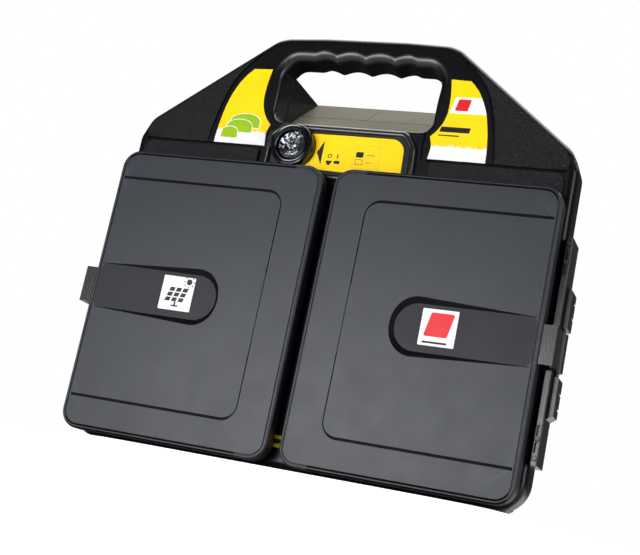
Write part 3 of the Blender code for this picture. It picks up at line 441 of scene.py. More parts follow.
def band(line, width):
    """The closed outline of a line drawn with one width, or one for each point."""
    widths = width if isinstance(width, list) else [width] * len(line)
    left, right = [], []
    for index, here in enumerate(line):
        before = line[max(index - 1, 0)]
        after = line[min(index + 1, len(line) - 1)]
        along = (after - before).normalized()
        across = Vector((-along.y, along.x)) * widths[index] / 2
        left.append(here + across)
        right.append(here - across)
    return left + right[::-1]


def rectangle(left, right, low, high, radius, steps):
    corners = [(left, low), (left, high), (right, high), (right, low)]
    return rounded([(x, z, radius) for x, z in corners], steps)


def square(x, z, width, height, radius=0.0003):
    """A small rectangle about its middle."""
    return rectangle(x - width / 2, x + width / 2, z - height / 2, z + height / 2, radius, 3)


def circle(x, z, radius, steps=32):
    angles = [math.tau * step / steps for step in range(steps)]
    return [Vector((x + radius * math.cos(a), z + radius * math.sin(a))) for a in angles]


def inside(point, outline):
    hit = False
    for a, b in zip(outline, outline[1:] + outline[:1]):
        if (a.y > point.y) != (b.y > point.y):
            crossing = a.x + (point.y - a.y) * (b.x - a.x) / (b.y - a.y)
            if point.x < crossing:
                hit = not hit
    return hit


# Meshes


def linked(name, bm):
    """The object made from a bmesh, with its faces turned outwards."""
    bmesh.ops.recalc_face_normals(bm, faces=bm.faces)
    mesh = bpy.data.meshes.new(name)
    bm.to_mesh(mesh)
    bm.free()
    obj = bpy.data.objects.new(name, mesh)
    bpy.context.scene.collection.objects.link(obj)
    return obj


def finish_piece(
    name, bm, materials, body="case", replaced=(), sharp=SMOOTH_ANGLE
):
    """Makes the object, shades it, and rides it on its body."""
    obj = linked(name, bm)
    for material in materials:
        obj.data.materials.append(material)
    shade_piece(obj, sharp)
    if body:
        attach(obj, body)
    if replaced:
        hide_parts(*replaced)
    return obj


def shade_piece(obj, sharp=SMOOTH_ANGLE):
    obj.data.shade_smooth()
    obj.data.set_sharp_from_angle(angle=sharp)


def even_normals(obj):
    """Keeps level faces level in shading, and weights the normals round them by area."""
    for polygon in obj.data.polygons:
        polygon.use_smooth = abs(polygon.normal.y) < LEVEL
    weighted(obj)


def weighted(obj):
    modifier = obj.modifiers.new("even_normals", "WEIGHTED_NORMAL")
    modifier.keep_sharp = True
    modifier.weight = 80


def soften(obj, width):
    """Rounds an object's sharp edges, with its flat faces kept flat in shading."""
    modifier = obj.modifiers.new("soft_edges", "BEVEL")
    modifier.width = width
    modifier.segments = 2
    modifier.limit_method = "ANGLE"
    modifier.angle_limit = math.radians(35)
    weighted(obj)


def ring(bm, outline, depth):
    """One row of vertices; depth is one number, or one for each point."""
    depths = depth if isinstance(depth, list) else [depth] * len(outline)
    return [bm.verts.new((p.x, FRONT + d, p.y)) for p, d in zip(outline, depths)]


def skin(bm, rings):
    """Faces from each ring to the next."""
    for first, second in zip(rings, rings[1:]):
        count = len(first)
        for i in range(count):
            j = (i + 1) % count
            bm.faces.new((first[i], first[j], second[j], second[i]))


def capped(bm, ends):
    """A straight bar between two end faces."""
    skin(bm, ends)
    bm.faces.new(ends[0])
    bm.faces.new(ends[1])


def fill(bm, loops):
    """Flat faces between an outer ring and the rings of its holes."""
    points, faces, vertices = [], [], []
    for loop in loops:
        base = len(points)
        outline = [Vector((v.co.x, v.co.z)) for v in loop]
        face = list(range(base, base + len(loop)))
        faces.append(face if area(outline) > 0 else face[::-1])
        points += outline
        vertices += loop
    _, _, triangles, origins, _, sources = delaunay_2d_cdt(points, [], faces, 1, 1e-7)
    for triangle, source in zip(triangles, sources):
        if list(source) == [0]:
            bm.faces.new([vertices[origins[i][0]] for i in triangle])


def closed_block(bm, rings):
    """Walls from ring to ring, with flat faces over both ends."""
    skin(bm, rings)
    fill(bm, [rings[0]])
    fill(bm, [rings[-1]])


def solid(name, outline, near, far):
    """A cutter: the outline made solid between two depths."""
    bm = bmesh.new()
    closed_block(bm, [ring(bm, outline, near), ring(bm, outline, far)])
    return linked(name, bm)


def carve(obj, cutters):
    """Cuts the cutters out of an object, then removes them."""
    for other in cutters:
        modifier = obj.modifiers.new("carve", "BOOLEAN")
        modifier.operation = "DIFFERENCE"
        modifier.solver = "EXACT"
        modifier.object = other
    bpy.context.view_layer.update()
    graph = bpy.context.evaluated_depsgraph_get()
    made = bpy.data.meshes.new_from_object(obj.evaluated_get(graph))
    obj.modifiers.clear()
    obj.data = made
    for other in cutters:
        bpy.data.objects.remove(other)
    shade_piece(obj)


def arc_profile(radius, steps, start_depth):
    """(inset, depth) pairs round an edge, from the flat front to the side wall."""
    angles = [math.radians(90) * step / steps for step in range(steps + 1)]
    return [
        (radius * (1 - math.sin(angle)), start_depth + radius * (1 - math.cos(angle)))
        for angle in angles
    ]


def turned(name, profile, steps, material, body, replaced=()):
    """A ring or disc turned about the button's axis, from (radius, depth) points."""
    bm = bmesh.new()
    rings = []
    for radius, depth in profile:
        if radius <= 0:
            rings.append([bm.verts.new((BUTTON_X, FRONT + depth, BUTTON_Z))])
        else:
            rings.append(ring(bm, circle(BUTTON_X, BUTTON_Z, radius, steps), depth))
    for first, second in zip(rings, rings[1:]):
        if len(first) == 1 or len(second) == 1:
            point, edge = (first[0], second) if len(first) == 1 else (second[0], first)
            for i in range(steps):
                bm.faces.new((point, edge[i], edge[(i + 1) % steps]))
        else:
            skin(bm, [first, second])
    if profile[0][0] > 0:
        skin(bm, [rings[-1], rings[0]])
    finish_piece(name, bm, [material], body, replaced)


def printed(
    name, outline, areas, materials, near, replaced,
    thickness=LABEL_THICKNESS, body="case", slot="label_yellow", lean=None,
):
    """A label: one sheet whose areas are printed in different inks, the last on top."""
    loops = [outline] + [shape for shape, _ in areas]
    points, edges = [], []
    for loop in loops:
        base = len(points)
        points += loop
        edges += [(base + i, base + (i + 1) % len(loop)) for i in range(len(loop))]
    places, _, triangles, _, _, _ = delaunay_2d_cdt(points, edges, [], 0, 1e-7)
    bm = bmesh.new()
    vertices = [bm.verts.new((p.x, FRONT + near, p.y)) for p in places]
    for triangle in triangles:
        middle = sum((places[i] for i in triangle), Vector((0, 0))) / 3
        if not inside(middle, outline):
            continue
        face = bm.faces.new([vertices[i] for i in triangle])
        for shape, used in areas:
            if inside(middle, shape):
                face.material_index = used
    bmesh.ops.delete(bm, geom=[v for v in bm.verts if not v.link_faces], context="VERTS")
    grown = bmesh.ops.extrude_face_region(bm, geom=bm.faces[:])
    moved = [item for item in grown["geom"] if isinstance(item, bmesh.types.BMVert)]
    bmesh.ops.translate(bm, vec=(0, thickness, 0), verts=moved)
    if lean:
        for vertex in bm.verts:
            vertex.co.y += lean(vertex.co.x)
    finish_piece(name, bm, materials, body, replaced)


# Case front


def case_outline():
    corners = [
        (0.04, HEIGHT, 0), (0.086, HEIGHT - 0.002, 0.032), (0.205, 0.3115, 0.02),
        (HALF_WIDTH, 0.292, 0.018), (HALF_WIDTH, 0, 0.026),
    ]
    return rounded(mirrored(corners), 10)


def opening_outline():
    """The inner wall of the handle opening, before its finger waves."""
    corners = [
        (OPENING_HALF, OPENING_HIGH + 0.001, 0.015),
        (OPENING_HALF, OPENING_LOW, 0.011),
    ]
    return resampled(rounded(mirrored(corners), 10), 0.0016)


def finger_rise(point):
    """How far the grip's underside rises above the plain outline at a point."""
    swing = math.sin(math.pi * (point.x - GRIP_MIDDLE) / FINGER_PITCH)
    wave = math.sqrt(swing * swing + 0.015) ** 0.8
    fade = 1 - smoothstep(abs(point.x - GRIP_MIDDLE), 0.042, 0.052)
    top = smoothstep(point.y, OPENING_HIGH - 0.004, OPENING_HIGH + 0.001)
    return FINGER_DEPTH * (wave * fade + 0.45 * (1 - fade)) * top


def label_arc(side):
    """The line of the groove outside a side label."""
    points = [(0.099, 0.385), (0.112, 0.373), (0.1235, 0.357), (0.1305, 0.337)]
    points += [(0.135, 0.318), (0.1375, 0.304), (0.1385, 0.2925)]
    return flipped(curve_through(points), side)


def panel_outline(side):
    """The pebbled triangle between the label's groove and the case's rim."""
    arc = [point for point in label_arc(1) if point.y < 0.379]
    arc = [point + Vector((0.0012, 0.0)) for point in arc]
    rim = [(0.196, 0.293), (0.2045, 0.295), (0.205, 0.301), (0.2, 0.3095)]
    rim += [(0.15, 0.349), (0.113, 0.3775)]
    return flipped(arc + [Vector(point) for point in rim], side)


def case_front():
    """The shell: soft outer rim, rounded handle opening, grooves and pebbled panels."""
    outer = resampled(case_outline(), 0.006)
    wall = opening_outline()
    rises = [Vector((0, finger_rise(p))) for p in wall]
    soft = [0.0045 + 0.0055 * smoothstep(p.y, 0.34, 0.374) for p in wall]
    soft = [r - 0.002 * (1 - smoothstep(p.y, 0.317, 0.33)) for r, p in zip(soft, wall)]

    def rear(outline, inset):
        return [SHELL_REAR - inset + 0.0035 * smoothstep(p.y, 0.3765, 0.383) for p in outline]

    def waved(grown):
        return [p + rise for p, rise in zip(offset(wall, grown), rises)]

    bm = bmesh.new()
    outside = [ring(bm, offset(outer, 0.009), SHELL_FRONT)]
    for inset, depth in arc_profile(0.0075, 9, SHELL_FRONT):
        outside.append(ring(bm, offset(outer, inset), depth))
    for inset, depth in ((0.0, 0.003), (0.0009, 0.0009), (0.003, 0.0), (0.004, 0.0)):
        outside.append(ring(bm, offset(outer, inset), rear(outer, depth)))
    inner = [ring(bm, waved([-r - 0.0012 for r in soft]), SHELL_FRONT)]
    for inset, depth in arc_profile(1, 9, 0):
        depths = [SHELL_FRONT + r * depth for r in soft]
        inner.append(ring(bm, waved([-r * inset for r in soft]), depths))
    for grown, depth in ((0.0, 0.004), (-0.0012, 0.0012), (-0.004, 0.0), (-0.0048, 0.0)):
        inner.append(ring(bm, waved(grown), rear(wall, depth)))
    skin(bm, outside)
    skin(bm, inner)
    fill(bm, [outside[0], inner[0]])
    fill(bm, [outside[-1], inner[-1]])
    materials = [CASE_BLACK, PANEL_LEATHER, GROOVE_PAINTED_SHADE, GRIP_BLACK]
    shell = finish_piece("case_front", bm, materials, replaced=["front_shell"])
    cuts = [
        solid("hollow", hollow_outline(), SHELL_FRONT + WALL, SHELL_REAR - WALL),
        solid("back", back_outline(), SHELL_REAR - 0.008, SHELL_REAR + 0.01),
        solid("button_hole", circle(BUTTON_X, BUTTON_Z, 0.0085), 0.015, 0.03),
    ]
    for side in (-1, 1):
        arc = band(label_arc(side), 0.0014)
        cuts.append(solid("arc_groove", arc, CUT_START, SHELL_FRONT + 0.0016))
        cuts.append(solid("panel", panel_outline(side), CUT_START, SHELL_FRONT + 0.0005))
        line = [Vector((side * x, GROOVE_Z)) for x in (0.0795, 0.2035)]
        cuts.append(solid("step_groove", band(line, 0.003), CUT_START, SHELL_FRONT + 0.0026))
    channel = band(
        curve_through([(0.0752, 0.316), (0.0748, 0.303), (0.0755, 0.2905)], 6), 0.0056
    )
    cuts.append(solid("channel", channel, CUT_START, SHELL_FRONT + 0.0018))
    carve(shell, cuts)
    panels = [panel_outline(side) for side in (-1, 1)]
    pebbled, dark, grip = 1, 2, 3
    for polygon in shell.data.polygons:
        middle = Vector((polygon.center.x, polygon.center.z))
        depth = polygon.center.y - FRONT - SHELL_FRONT
        normal = polygon.normal
        facing = normal.y < -0.95 and depth < 0.001
        in_groove = abs(middle.y - GROOVE_Z) < 0.0016 and 0.0785 < abs(middle.x) < 0.204
        if facing and any(inside(middle, panel) for panel in panels):
            polygon.material_index = pebbled
        elif in_groove and depth < 0.0028:
            # Painted shade in the step groove.
            polygon.material_index = dark
        elif abs(middle.x) < GRIP_HALF and middle.y > OPENING_LOW:
            if -0.98 < normal.y < -0.3:
                polygon.material_index = grip
            elif normal.z < -0.4:
                # Painted shade on the grip's underside.
                polygon.material_index = dark
    even_normals(shell)


def hollow_outline():
    corners = [
        (0.0905, OPENING_LOW - 0.0115, 0), (0.0905, 0.368, 0.004), (0.106, 0.368, 0.01),
        (0.198, 0.3, 0.012), (HALF_WIDTH - 0.005, 0.284, 0.012),
        (HALF_WIDTH - 0.005, 0.005, 0.022),
    ]
    return rounded(mirrored(corners), 4)


def back_outline():
    corners = [
        (0.092, 0.303, 0.004), (0.166, 0.294, 0.01), (0.176, 0.277, 0.01),
        (0.176, 0.0065, 0.006),
    ]
    return rounded(mirrored(corners), 4)


def shell_bands():
    """The flat bands of the shell that show between each wing and the label above it."""
    corners = [
        (BAND_INNER, BAND_LOW, 0.0024), (BAND_INNER, BAND_HIGH, 0.0024),
        (BAND_OUTER, BAND_HIGH, 0.009), (BAND_OUTER, BAND_LOW, 0.0024),
    ]
    for name, side in (("left_shell_band", -1), ("right_shell_band", 1)):
        outline = flipped(rounded(corners), side)
        bm = bmesh.new()
        rings = [ring(bm, offset(outline, 0.0016), 0.019)]
        for inset, depth in arc_profile(0.001, 4, 0.019):
            rings.append(ring(bm, offset(outline, inset), depth))
        rings.append(ring(bm, outline, SHELL_FRONT + 0.0005))
        closed_block(bm, rings)
        even_normals(finish_piece(name, bm, [PANEL_LEATHER]))


def recess_lining():
    """The floor of the hand recess, its pale taupe colour a painted reflection of the light
    above: a lower strip, and an upper one split at a seam.
    """
    lower = [(0.054, 0.3226), (0.0835, 0.3467)]
    upper = [(0.0842, 0.3474), (0.1195, 0.3737)]
    half = OPENING_HALF - 0.0007
    strips = [
        (lower, -half, half),
        (upper, -half, SEAM_X - SEAM_HALF),
        (upper, SEAM_X + SEAM_HALF, half),
    ]
    bm = bmesh.new()
    for surface, left, right in strips:
        below = [(depth + 0.0006, z - 0.0008) for depth, z in reversed(surface)]
        profile = surface + below
        capped(bm, [[bm.verts.new((x, FRONT + d, z)) for d, z in profile] for x in (left, right)])
    finish_piece("recess_lining", bm, [RECESS_PAINTED_REFLECTION])


# Console


def console():
    """The control plate: a rounded bead round a sunken printed label."""
    corners = [
        (-0.076, 0.262, 0), (-0.076, 0.303, 0.01), (-0.064, 0.3145, 0.01),
        (0.058, 0.3145, 0.01), (0.0685, 0.3, 0.012), (0.0705, 0.262, 0),
    ]
    outline = rounded(corners, 10)
    profile = [(0.0, 0.0217), (0.0, 0.02), (0.0004, 0.0186), (0.0013, 0.0172), (0.0026, 0.0163)]
    profile += [(0.004, 0.0162), (0.0052, 0.0168), (0.0058, 0.0178)]
    profile += [(0.006, 0.0192), (0.007, 0.0192)]
    bm = bmesh.new()
    closed_block(bm, [ring(bm, offset(outline, inset), depth) for inset, depth in profile])
    plate = finish_piece("console_body", bm, [CASE_SMOOTH], replaced=["console_plate"])
    carve(plate, [solid("collar_hole", circle(BUTTON_X, BUTTON_Z, 0.0172, 64), 0.01, 0.03)])
    even_normals(plate)
    control_label()
    collar()
    lens()


def control_label():
    """Yellow label with plain pictograms: an arrow, on and off marks, and a level key."""
    reach = 0.0211
    around = []
    for step in range(13):
        angle = math.radians(-64 + 109 * step / 12)
        x, z = reach * math.cos(angle), reach * math.sin(angle)
        around.append(Vector((BUTTON_X + x, BUTTON_Z + z)))
    corners = [
        (0.0, 0.3062, 0), (0.057, 0.3062, 0.0125), (0.0588, 0.27, 0.001), (0.0, 0.27, 0)
    ]
    outline = around + rounded(corners, 10)[1:-1]
    arrow = [Vector(p) for p in ((-0.0245, 0.2885), (-0.0188, 0.3), (-0.0188, 0.2765))]
    yellow, black, grey = 0, 1, 2
    areas = [
        (arrow, black),
        (circle(-0.0112, 0.2858, 0.0021, 20), black),
        (circle(-0.0112, 0.2858, 0.0013, 20), yellow),
        (square(-0.0035, 0.2858, 0.0011, 0.0042), black),
        (square(-0.0112, 0.28, 0.0058, 0.0022), black),
        (square(-0.0112, 0.2787, 0.003, 0.0036), black),
        (square(-0.0035, 0.28, 0.0058, 0.003, 0.0012), black),
        (square(0.024, 0.2868, 0.025, 0.022), grey),
        (square(0.024, 0.2868, 0.0245, 0.0215), yellow),
        (square(0.0172, 0.289, 0.007, 0.0052), black),
        (square(0.0172, 0.282, 0.007, 0.0052), black),
        (square(0.0172, 0.282, 0.0062, 0.0044), yellow),
        (square(0.028, 0.289, 0.008, 0.001), grey),
        (square(0.0265, 0.282, 0.005, 0.001), grey),
    ]
    materials = [YELLOW, BLACK_INK, GREY_INK]
    printed("control_print", outline, areas, materials, 0.0184, ["control_label"])


def collar():
    profile = [
        (0.0205, 0.0191), (0.0205, 0.011), (0.0202, 0.0097), (0.0195, 0.0088), (0.0186, 0.0085),
        (0.0176, 0.0088), (0.0171, 0.0095), (0.0167, 0.0092), (0.0158, 0.0091), (0.015, 0.0098),
        (0.0145, 0.0112), (0.0145, 0.0205), (0.0162, 0.0205), (0.0162, 0.0191),
    ]
    turned("button_bezel", profile, 96, GLOSS_BLACK, "case", ["button_collar"])


def lens():
    """The push button: a ribbed clear cap over a bright dish with facets."""
    cap = [
        (0.0, 0.0081), (0.0029, 0.0082), (0.0034, 0.0086), (0.004, 0.0083), (0.0069, 0.0086),
        (0.0074, 0.009), (0.008, 0.0088), (0.0109, 0.0094), (0.0125, 0.0102), (0.0135, 0.0116),
        (0.0138, 0.016), (0.0129, 0.016), (0.0127, 0.012), (0.0115, 0.011), (0.0, 0.0098),
    ]
    turned("lens_cap", cap, 96, CLEAR, "button", ["push_button"])
    steps = 48
    hole, rim, rear = 0.0029, 0.0124, 0.0162
    bm = bmesh.new()
    rings = []
    dish = ((hole, 0.015), (0.0067, 0.0137), (0.0105, 0.0125), (rim, 0.0122))
    for index, (radius, depth) in enumerate(dish):
        outline = circle(BUTTON_X, BUTTON_Z, radius, steps)
        depths = [FACET_DEPTH * ((i + index) % 4 < 2) + depth for i in range(steps)]
        rings.append(ring(bm, outline, depths))
    for radius in (rim, hole):
        rings.append(ring(bm, circle(BUTTON_X, BUTTON_Z, radius, steps), rear))
    skin(bm, rings + rings[:1])
    finish_piece("lens_dish", bm, [MIRROR], "button", sharp=math.radians(12))
    core = [(0.0, 0.0108), (0.0012, 0.011), (0.0019, 0.0118)]
    core += [(0.0022, 0.0134), (0.0022, 0.016), (0.0, 0.016)]
    turned("lens_core", core, 32, CLEAR, "button")


# Side labels

SIDE_INKS = [YELLOW, WHITE, GREEN, RED, BLACK_INK]
SIDE_WHITE, SIDE_GREEN, SIDE_RED, SIDE_BLACK = range(1, 5)


def grass(left, right, level, seed):
    """The ragged top of mown grass between two X positions, from left to right."""
    chance = random.Random(seed)
    points = []
    x = left
    while x < right - 0.0012:
        points.append(Vector((x, level)))
        points.append(Vector((x + 0.0005, level + chance.uniform(0.0012, 0.0046))))
        x += chance.uniform(0.001, 0.0022)
    points.append(Vector((right, level)))
    return points


def side_outline():
    """The right side label: a long outer arc, and an inner edge with a pointed waist."""
    outer = [(0.1065, 0.3673), (0.116, 0.3565), (0.124, 0.3405), (0.1285, 0.3235)]
    outer += [(0.131, 0.3065), (0.132, 0.2915)]
    lower = [(0.0793, 0.2915), (0.0805, 0.3035), (0.078, 0.3125)]
    upper = [(0.078, 0.3125), (0.0855, 0.3218), (0.09, 0.3345)]
    upper += [(0.0902, 0.3515), (0.088, 0.368)]
    return curve_through(outer) + curve_through(lower) + curve_through(upper)[1:]


def side_labels():
    """The printed label on each side of the handle: a scene on one, a badge on the other."""
    for name, side in (("left_side", -1), ("right_side", 1)):
        shape = flipped(side_outline(), side)
        left, right = sorted((side * LABEL_INNER, side * LABEL_OUTER))
        meadow = grass(left, right, MEADOW_TOP, 7 + side)
        white = [Vector((left, LABEL_FOOT))] + meadow + [Vector((right, LABEL_FOOT))]
        areas = [(white, SIDE_WHITE)]
        areas += hills(side) if side < 0 else badge()
        near = SHELL_FRONT - LABEL_THICKNESS
        printed(f"{name}_print", shape, areas, SIDE_INKS, near, [f"{name}_label"])


def hills(side):
    """Three green humps with white outlines, standing for pasture."""
    humps = [
        (0.104, 0.312, 0.03, 0.0095),
        (0.109, 0.307, 0.026, 0.0085),
        (0.118, 0.301, 0.0165, 0.007),
    ]
    shapes = []
    for x, z, width, height in humps:
        half = width / 2
        outline = []
        for step in range(25):
            angle = math.pi * step / 24
            lift = height * math.sin(angle) ** 0.7
            outline.append(Vector((side * (x + half * math.cos(angle)), z + lift)))
        outline += [
            Vector((side * (x - half), z - 0.004)), Vector((side * (x + half), z - 0.004))
        ]
        shapes.append((offset(outline, -0.0006), SIDE_WHITE))
        shapes.append((outline, SIDE_GREEN))
    return shapes


def slab(low, high, lower_ends, upper_ends, radius, steps):
    """A four-cornered shape from the X ends of its lower and upper edges."""
    corners = [
        (lower_ends[0], low), (upper_ends[0], high), (upper_ends[1], high), (lower_ends[1], low)
    ]
    return rounded([(x, z, radius) for x, z in corners], steps)


def badge():
    """A white slanted band with a plain red block, and two dark bars below it."""
    return [
        (slab(0.336, 0.3515, (0.0915, 0.14), (0.0955, 0.14), 0, 1), SIDE_WHITE),
        (slab(0.3385, 0.3495, (0.096, 0.1078), (0.0985, 0.11), 0.001, 4), SIDE_RED),
        (slab(0.3178, 0.3228, (0.0855, 0.1128), (0.0868, 0.114), 0.0004, 3), SIDE_BLACK),
        (slab(0.314, 0.3152, (0.085, 0.1042), (0.0853, 0.1045), 0.0002, 3), SIDE_BLACK),
    ]


def front_label():
    outline = rounded(mirrored([(0.055, 0.029, 0.002), (0.055, 0.0186, 0.002)]), 6)
    areas = [(square(0.0, 0.0238, 0.086, 0.004), 1)]
    near = SHELL_FRONT - LABEL_THICKNESS
    printed("front_print", outline, areas, [YELLOW, BLACK_INK], near, ["front_label"])


# Wings

WING_INKS = [WHITE, BLACK_INK, RED]
WING_BLACK, WING_RED = 1, 2


def wing_outline(side):
    outline = rectangle(WING_INNER, WING_OUTER, WING_BOTTOM, WING_TOP, WING_CORNER, 12)
    return flipped(outline, side)


def tongue_depth(x):
    """The depth of the pocket's floor: none at the outer edge, and most at the round end."""
    return TONGUE_DEPTH * (WING_OUTER - abs(x)) / TONGUE_LENGTH


def tongue_floor(side):
    """The pocket's floor outline, listed from its outer end round and back."""
    half = TONGUE_HALF
    reach = WING_OUTER + 0.004
    inner = WING_OUTER - TONGUE_LENGTH + TONGUE_END_DRAFT
    corners = [(reach, HINGE_Z - half, 0), (inner, HINGE_Z - half, half * 0.97)]
    corners += [(inner, HINGE_Z + half, half * 0.97), (reach, HINGE_Z + half, 0)]
    return flipped(resampled(rounded(corners, 14), 0.004), side)


def pocket_cutter(side):
    """The pocket's space: a sloping floor, and walls that spread towards the front."""
    floor = tongue_floor(side)
    depths = [tongue_depth(p.x) for p in floor]
    spreads = []
    for point, depth in zip(floor, depths):
        sideways = min(1.0, abs(point.y - HINGE_Z) / TONGUE_HALF) ** 2
        draft = TONGUE_END_DRAFT + (TONGUE_SIDE_DRAFT - TONGUE_END_DRAFT) * sideways
        spreads.append(-draft * (max(depth, 0.0) + TONGUE_ABOVE) / TONGUE_DEPTH)
    above = offset(floor, spreads)
    for point, base in zip(above, floor):
        if abs(base.x) > WING_OUTER + 0.0035:
            point.x = base.x
    bm = bmesh.new()
    closed_block(bm, [ring(bm, above, -TONGUE_ABOVE), ring(bm, floor, depths)])
    return linked("pocket", bm)


def step_groove(side):
    """The shallow channel that frames the wing's face, open towards its outer edge."""
    reach = WING_OUTER - 0.0052
    corners = [(reach, STEP_LOW, 0), (STEP_INNER, STEP_LOW, 0.014)]
    corners += [(STEP_INNER, STEP_HIGH, 0.014), (reach, STEP_HIGH, 0)]
    line = resampled(rounded(corners, 12), 0.004)
    line = [point for point in line if point.x < reach - 1e-6 or abs(point.y - STEP_LOW) < 1e-6]
    line.append(Vector((reach, STEP_HIGH)))
    widths = []
    for point in line:
        broad = smoothstep(point.x, STEP_INNER, STEP_INNER + 0.012)
        widths.append(STEP_NARROW + (STEP_BROAD - STEP_NARROW) * broad)
    return flipped(band(line, widths), side)


def wing(name, side):
    """A wing's cover: rim groove, framed face and a sloping tongue-shaped pocket."""
    profile = [
        (0.0026, WING_REAR - 0.005), (0.0025, WING_REAR), (0.0003, WING_REAR),
        (0.0, WING_REAR - 0.0004), (0.0, 0.002), (0.0002, 0.001), (0.0008, 0.0003),
        (0.0016, 0.0), (0.0024, 0.0), (0.0028, 0.0002), (0.0031, 0.0009), (0.0036, 0.0009),
        (0.0039, 0.0002), (0.0043, 0.0), (0.0052, 0.0),
    ]
    outline = resampled(wing_outline(side), 0.012)
    bm = bmesh.new()
    closed_block(bm, [ring(bm, offset(outline, inset), depth) for inset, depth in profile])
    materials = [WING_PLASTIC, GROOVE_PAINTED_SHADE, TONGUE_PAINTED_SHADE]
    dark, tongue = 1, 2
    cover = finish_piece(f"{name}_shell", bm, materials, name, [f"{name}_cover"])
    carve(cover, [pocket_cutter(side), solid("step", step_groove(side), -0.002, STEP_DEPTH)])
    for polygon in cover.data.polygons:
        x, y, z = polygon.center
        low = FRONT + 0.00005 < y < FRONT + TONGUE_DEPTH * 1.1
        steep = polygon.normal.y > -0.93
        near_pocket = abs(z - HINGE_Z) < TONGUE_HALF + 0.009 and abs(x) < WING_OUTER - 0.0055
        in_step = STEP_INNER - 0.003 < abs(x) < WING_OUTER - 0.0054 and y < FRONT + 0.001
        if low and near_pocket and abs(x) > STEP_INNER + 0.01:
            # Painted shade: near-black on the pocket's steep walls, and a darker copy of the wing
            # plastic on its floor.
            polygon.material_index = dark if steep else tongue
        elif low and in_step and not near_pocket:
            # Painted shade in the step groove.
            polygon.material_index = dark
    even_normals(cover)
    wing_label(name, side)
    solar_cells(name, side)
    ribbed_pad(name, side)


def wing_label(name, side):
    """A small white label on the pocket's floor with a plain pictogram."""
    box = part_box(f"{name}_label")
    low, high = Vector((box[0].x, box[0].z)), Vector((box[1].x, box[1].z))
    middle = (low + high) / 2
    size = high.x - low.x
    outline = rectangle(low.x, high.x, low.y, high.y, 0.0008, 3)
    areas = sun_panel(middle, size) if side < 0 else red_mark(middle, size)
    place = {"body": name, "slot": "label_white", "thickness": 0.0006, "lean": tongue_depth}
    printed(f"{name}_print", outline, areas, WING_INKS, -0.0004, [f"{name}_label"], **place)


def sun_panel(middle, size):
    """A solar panel's grid with a small sun above it."""
    unit = size / 8.4
    slant = 0.35
    lean = 0.14
    areas = []
    for row in range(3):
        for column in range(3):
            x = (column - 1) * 1.75 + (row - 1) * slant
            z = (row - 1) * 1.25 - 0.3
            left, right, low, high = x - 0.66, x + 0.66, z - 0.5, z + 0.5
            corners = [(left - lean, low), (left + lean, high)]
            corners += [(right + lean, high), (right - lean, low)]
            areas.append(([middle + Vector(c) * unit for c in corners], WING_BLACK))
    stem = [(-0.9, -3.3), (-0.9, -2.9), (-0.25, -2.9), (-0.25, -2.1)]
    stem += [(-x, z) for x, z in reversed(stem)]
    areas.append(([middle + Vector(c) * unit for c in stem], WING_BLACK))
    sun = middle + Vector((2.7, 3.1)) * unit
    areas.append((circle(sun.x, sun.y, 0.75 * unit, 20), WING_BLACK))
    for ray in range(8):
        angle = math.tau * ray / 8
        along = Vector((math.cos(angle), math.sin(angle))) * unit
        areas.append((band([sun + along * 1.05, sun + along * 1.55], unit * 0.22), WING_BLACK))
    return areas


def red_mark(middle, size):
    """A plain slanted red block."""
    unit = size / 8.8
    corners = [(-3.4, -2.2, 0.5), (-2.2, 3.6, 0.5), (3.6, 3.6, 0.5), (2.4, -2.2, 0.5)]
    block = rounded(
        [(middle.x + x * unit, middle.y + z * unit, r * unit) for x, z, r in corners], 5
    )
    line = [middle + Vector((-3.4, -3.6)) * unit, middle + Vector((2.6, -3.6)) * unit]
    return [(block, WING_RED), (band(line, unit * 0.5), WING_BLACK)]


def solar_cells(name, side):
    """Crystalline cells with silver strips on the panel inside a wing."""
    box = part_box(f"{name}_solar_panel")
    far = box[1].y - FRONT
    inner, outer = sorted((abs(box[0].x), abs(box[1].x)))
    left, right = inner + CELL_MARGIN, outer - CELL_MARGIN
    low, high = box[0].z + CELL_MARGIN, box[1].z - CELL_MARGIN
    columns, rows = 4, 9
    width, height = (right - left) / columns, (high - low) / rows
    cells, strips = bmesh.new(), bmesh.new()
    for column in range(columns):
        for row in range(rows):
            x = left + (column + 0.5) * width
            z = low + (row + 0.5) * height
            shape = flipped(square(x, z, width - CELL_GAP, height - CELL_GAP, 0.0025), side)
            upper = offset(shape, 0.0001)
            closed_block(
                cells, [ring(cells, shape, far + 0.0001), ring(cells, upper, far + 0.0003)]
            )
        for share in (-0.25, 0.25):
            x = left + (column + 0.5 + share) * width
            shape = flipped(square(x, (low + high) / 2, 0.0011, high - low - 0.004), side)
            closed_block(strips, [ring(strips, shape, far + d) for d in (0.0002, 0.00045)])
    finish_piece(f"{name}_cells", cells, [SILICON], name)
    finish_piece(f"{name}_strips", strips, [SILVER], name)


def ribbed_pad(name, side):
    """Fine upright ribs on the tab that reaches from a wing to its hinge."""
    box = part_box(f"{name}_hinge_arm")
    near = box[0].y - FRONT
    low, high = box[0].z + 0.0008, box[1].z - 0.0008
    end = min(abs(box[0].x), abs(box[1].x)) + 0.035
    bm = bmesh.new()
    for index in range(RIBS):
        x = end - (index + 0.5) * RIB_PITCH
        half = RIB_PITCH * 0.3
        rib = [(x - half, near + 0.0003), (x - half * 0.6, near - 0.0003)]
        rib += [(x + half * 0.6, near - 0.0003), (x + half, near + 0.0003)]
        rib = [(side * a, FRONT + depth) for a, depth in rib]
        capped(bm, [[bm.verts.new((a, y, z)) for a, y in rib] for z in (low, high)])
    finish_piece(f"{name}_ribs", bm, [HINGE_BLACK], name)


# CAD parts that stay


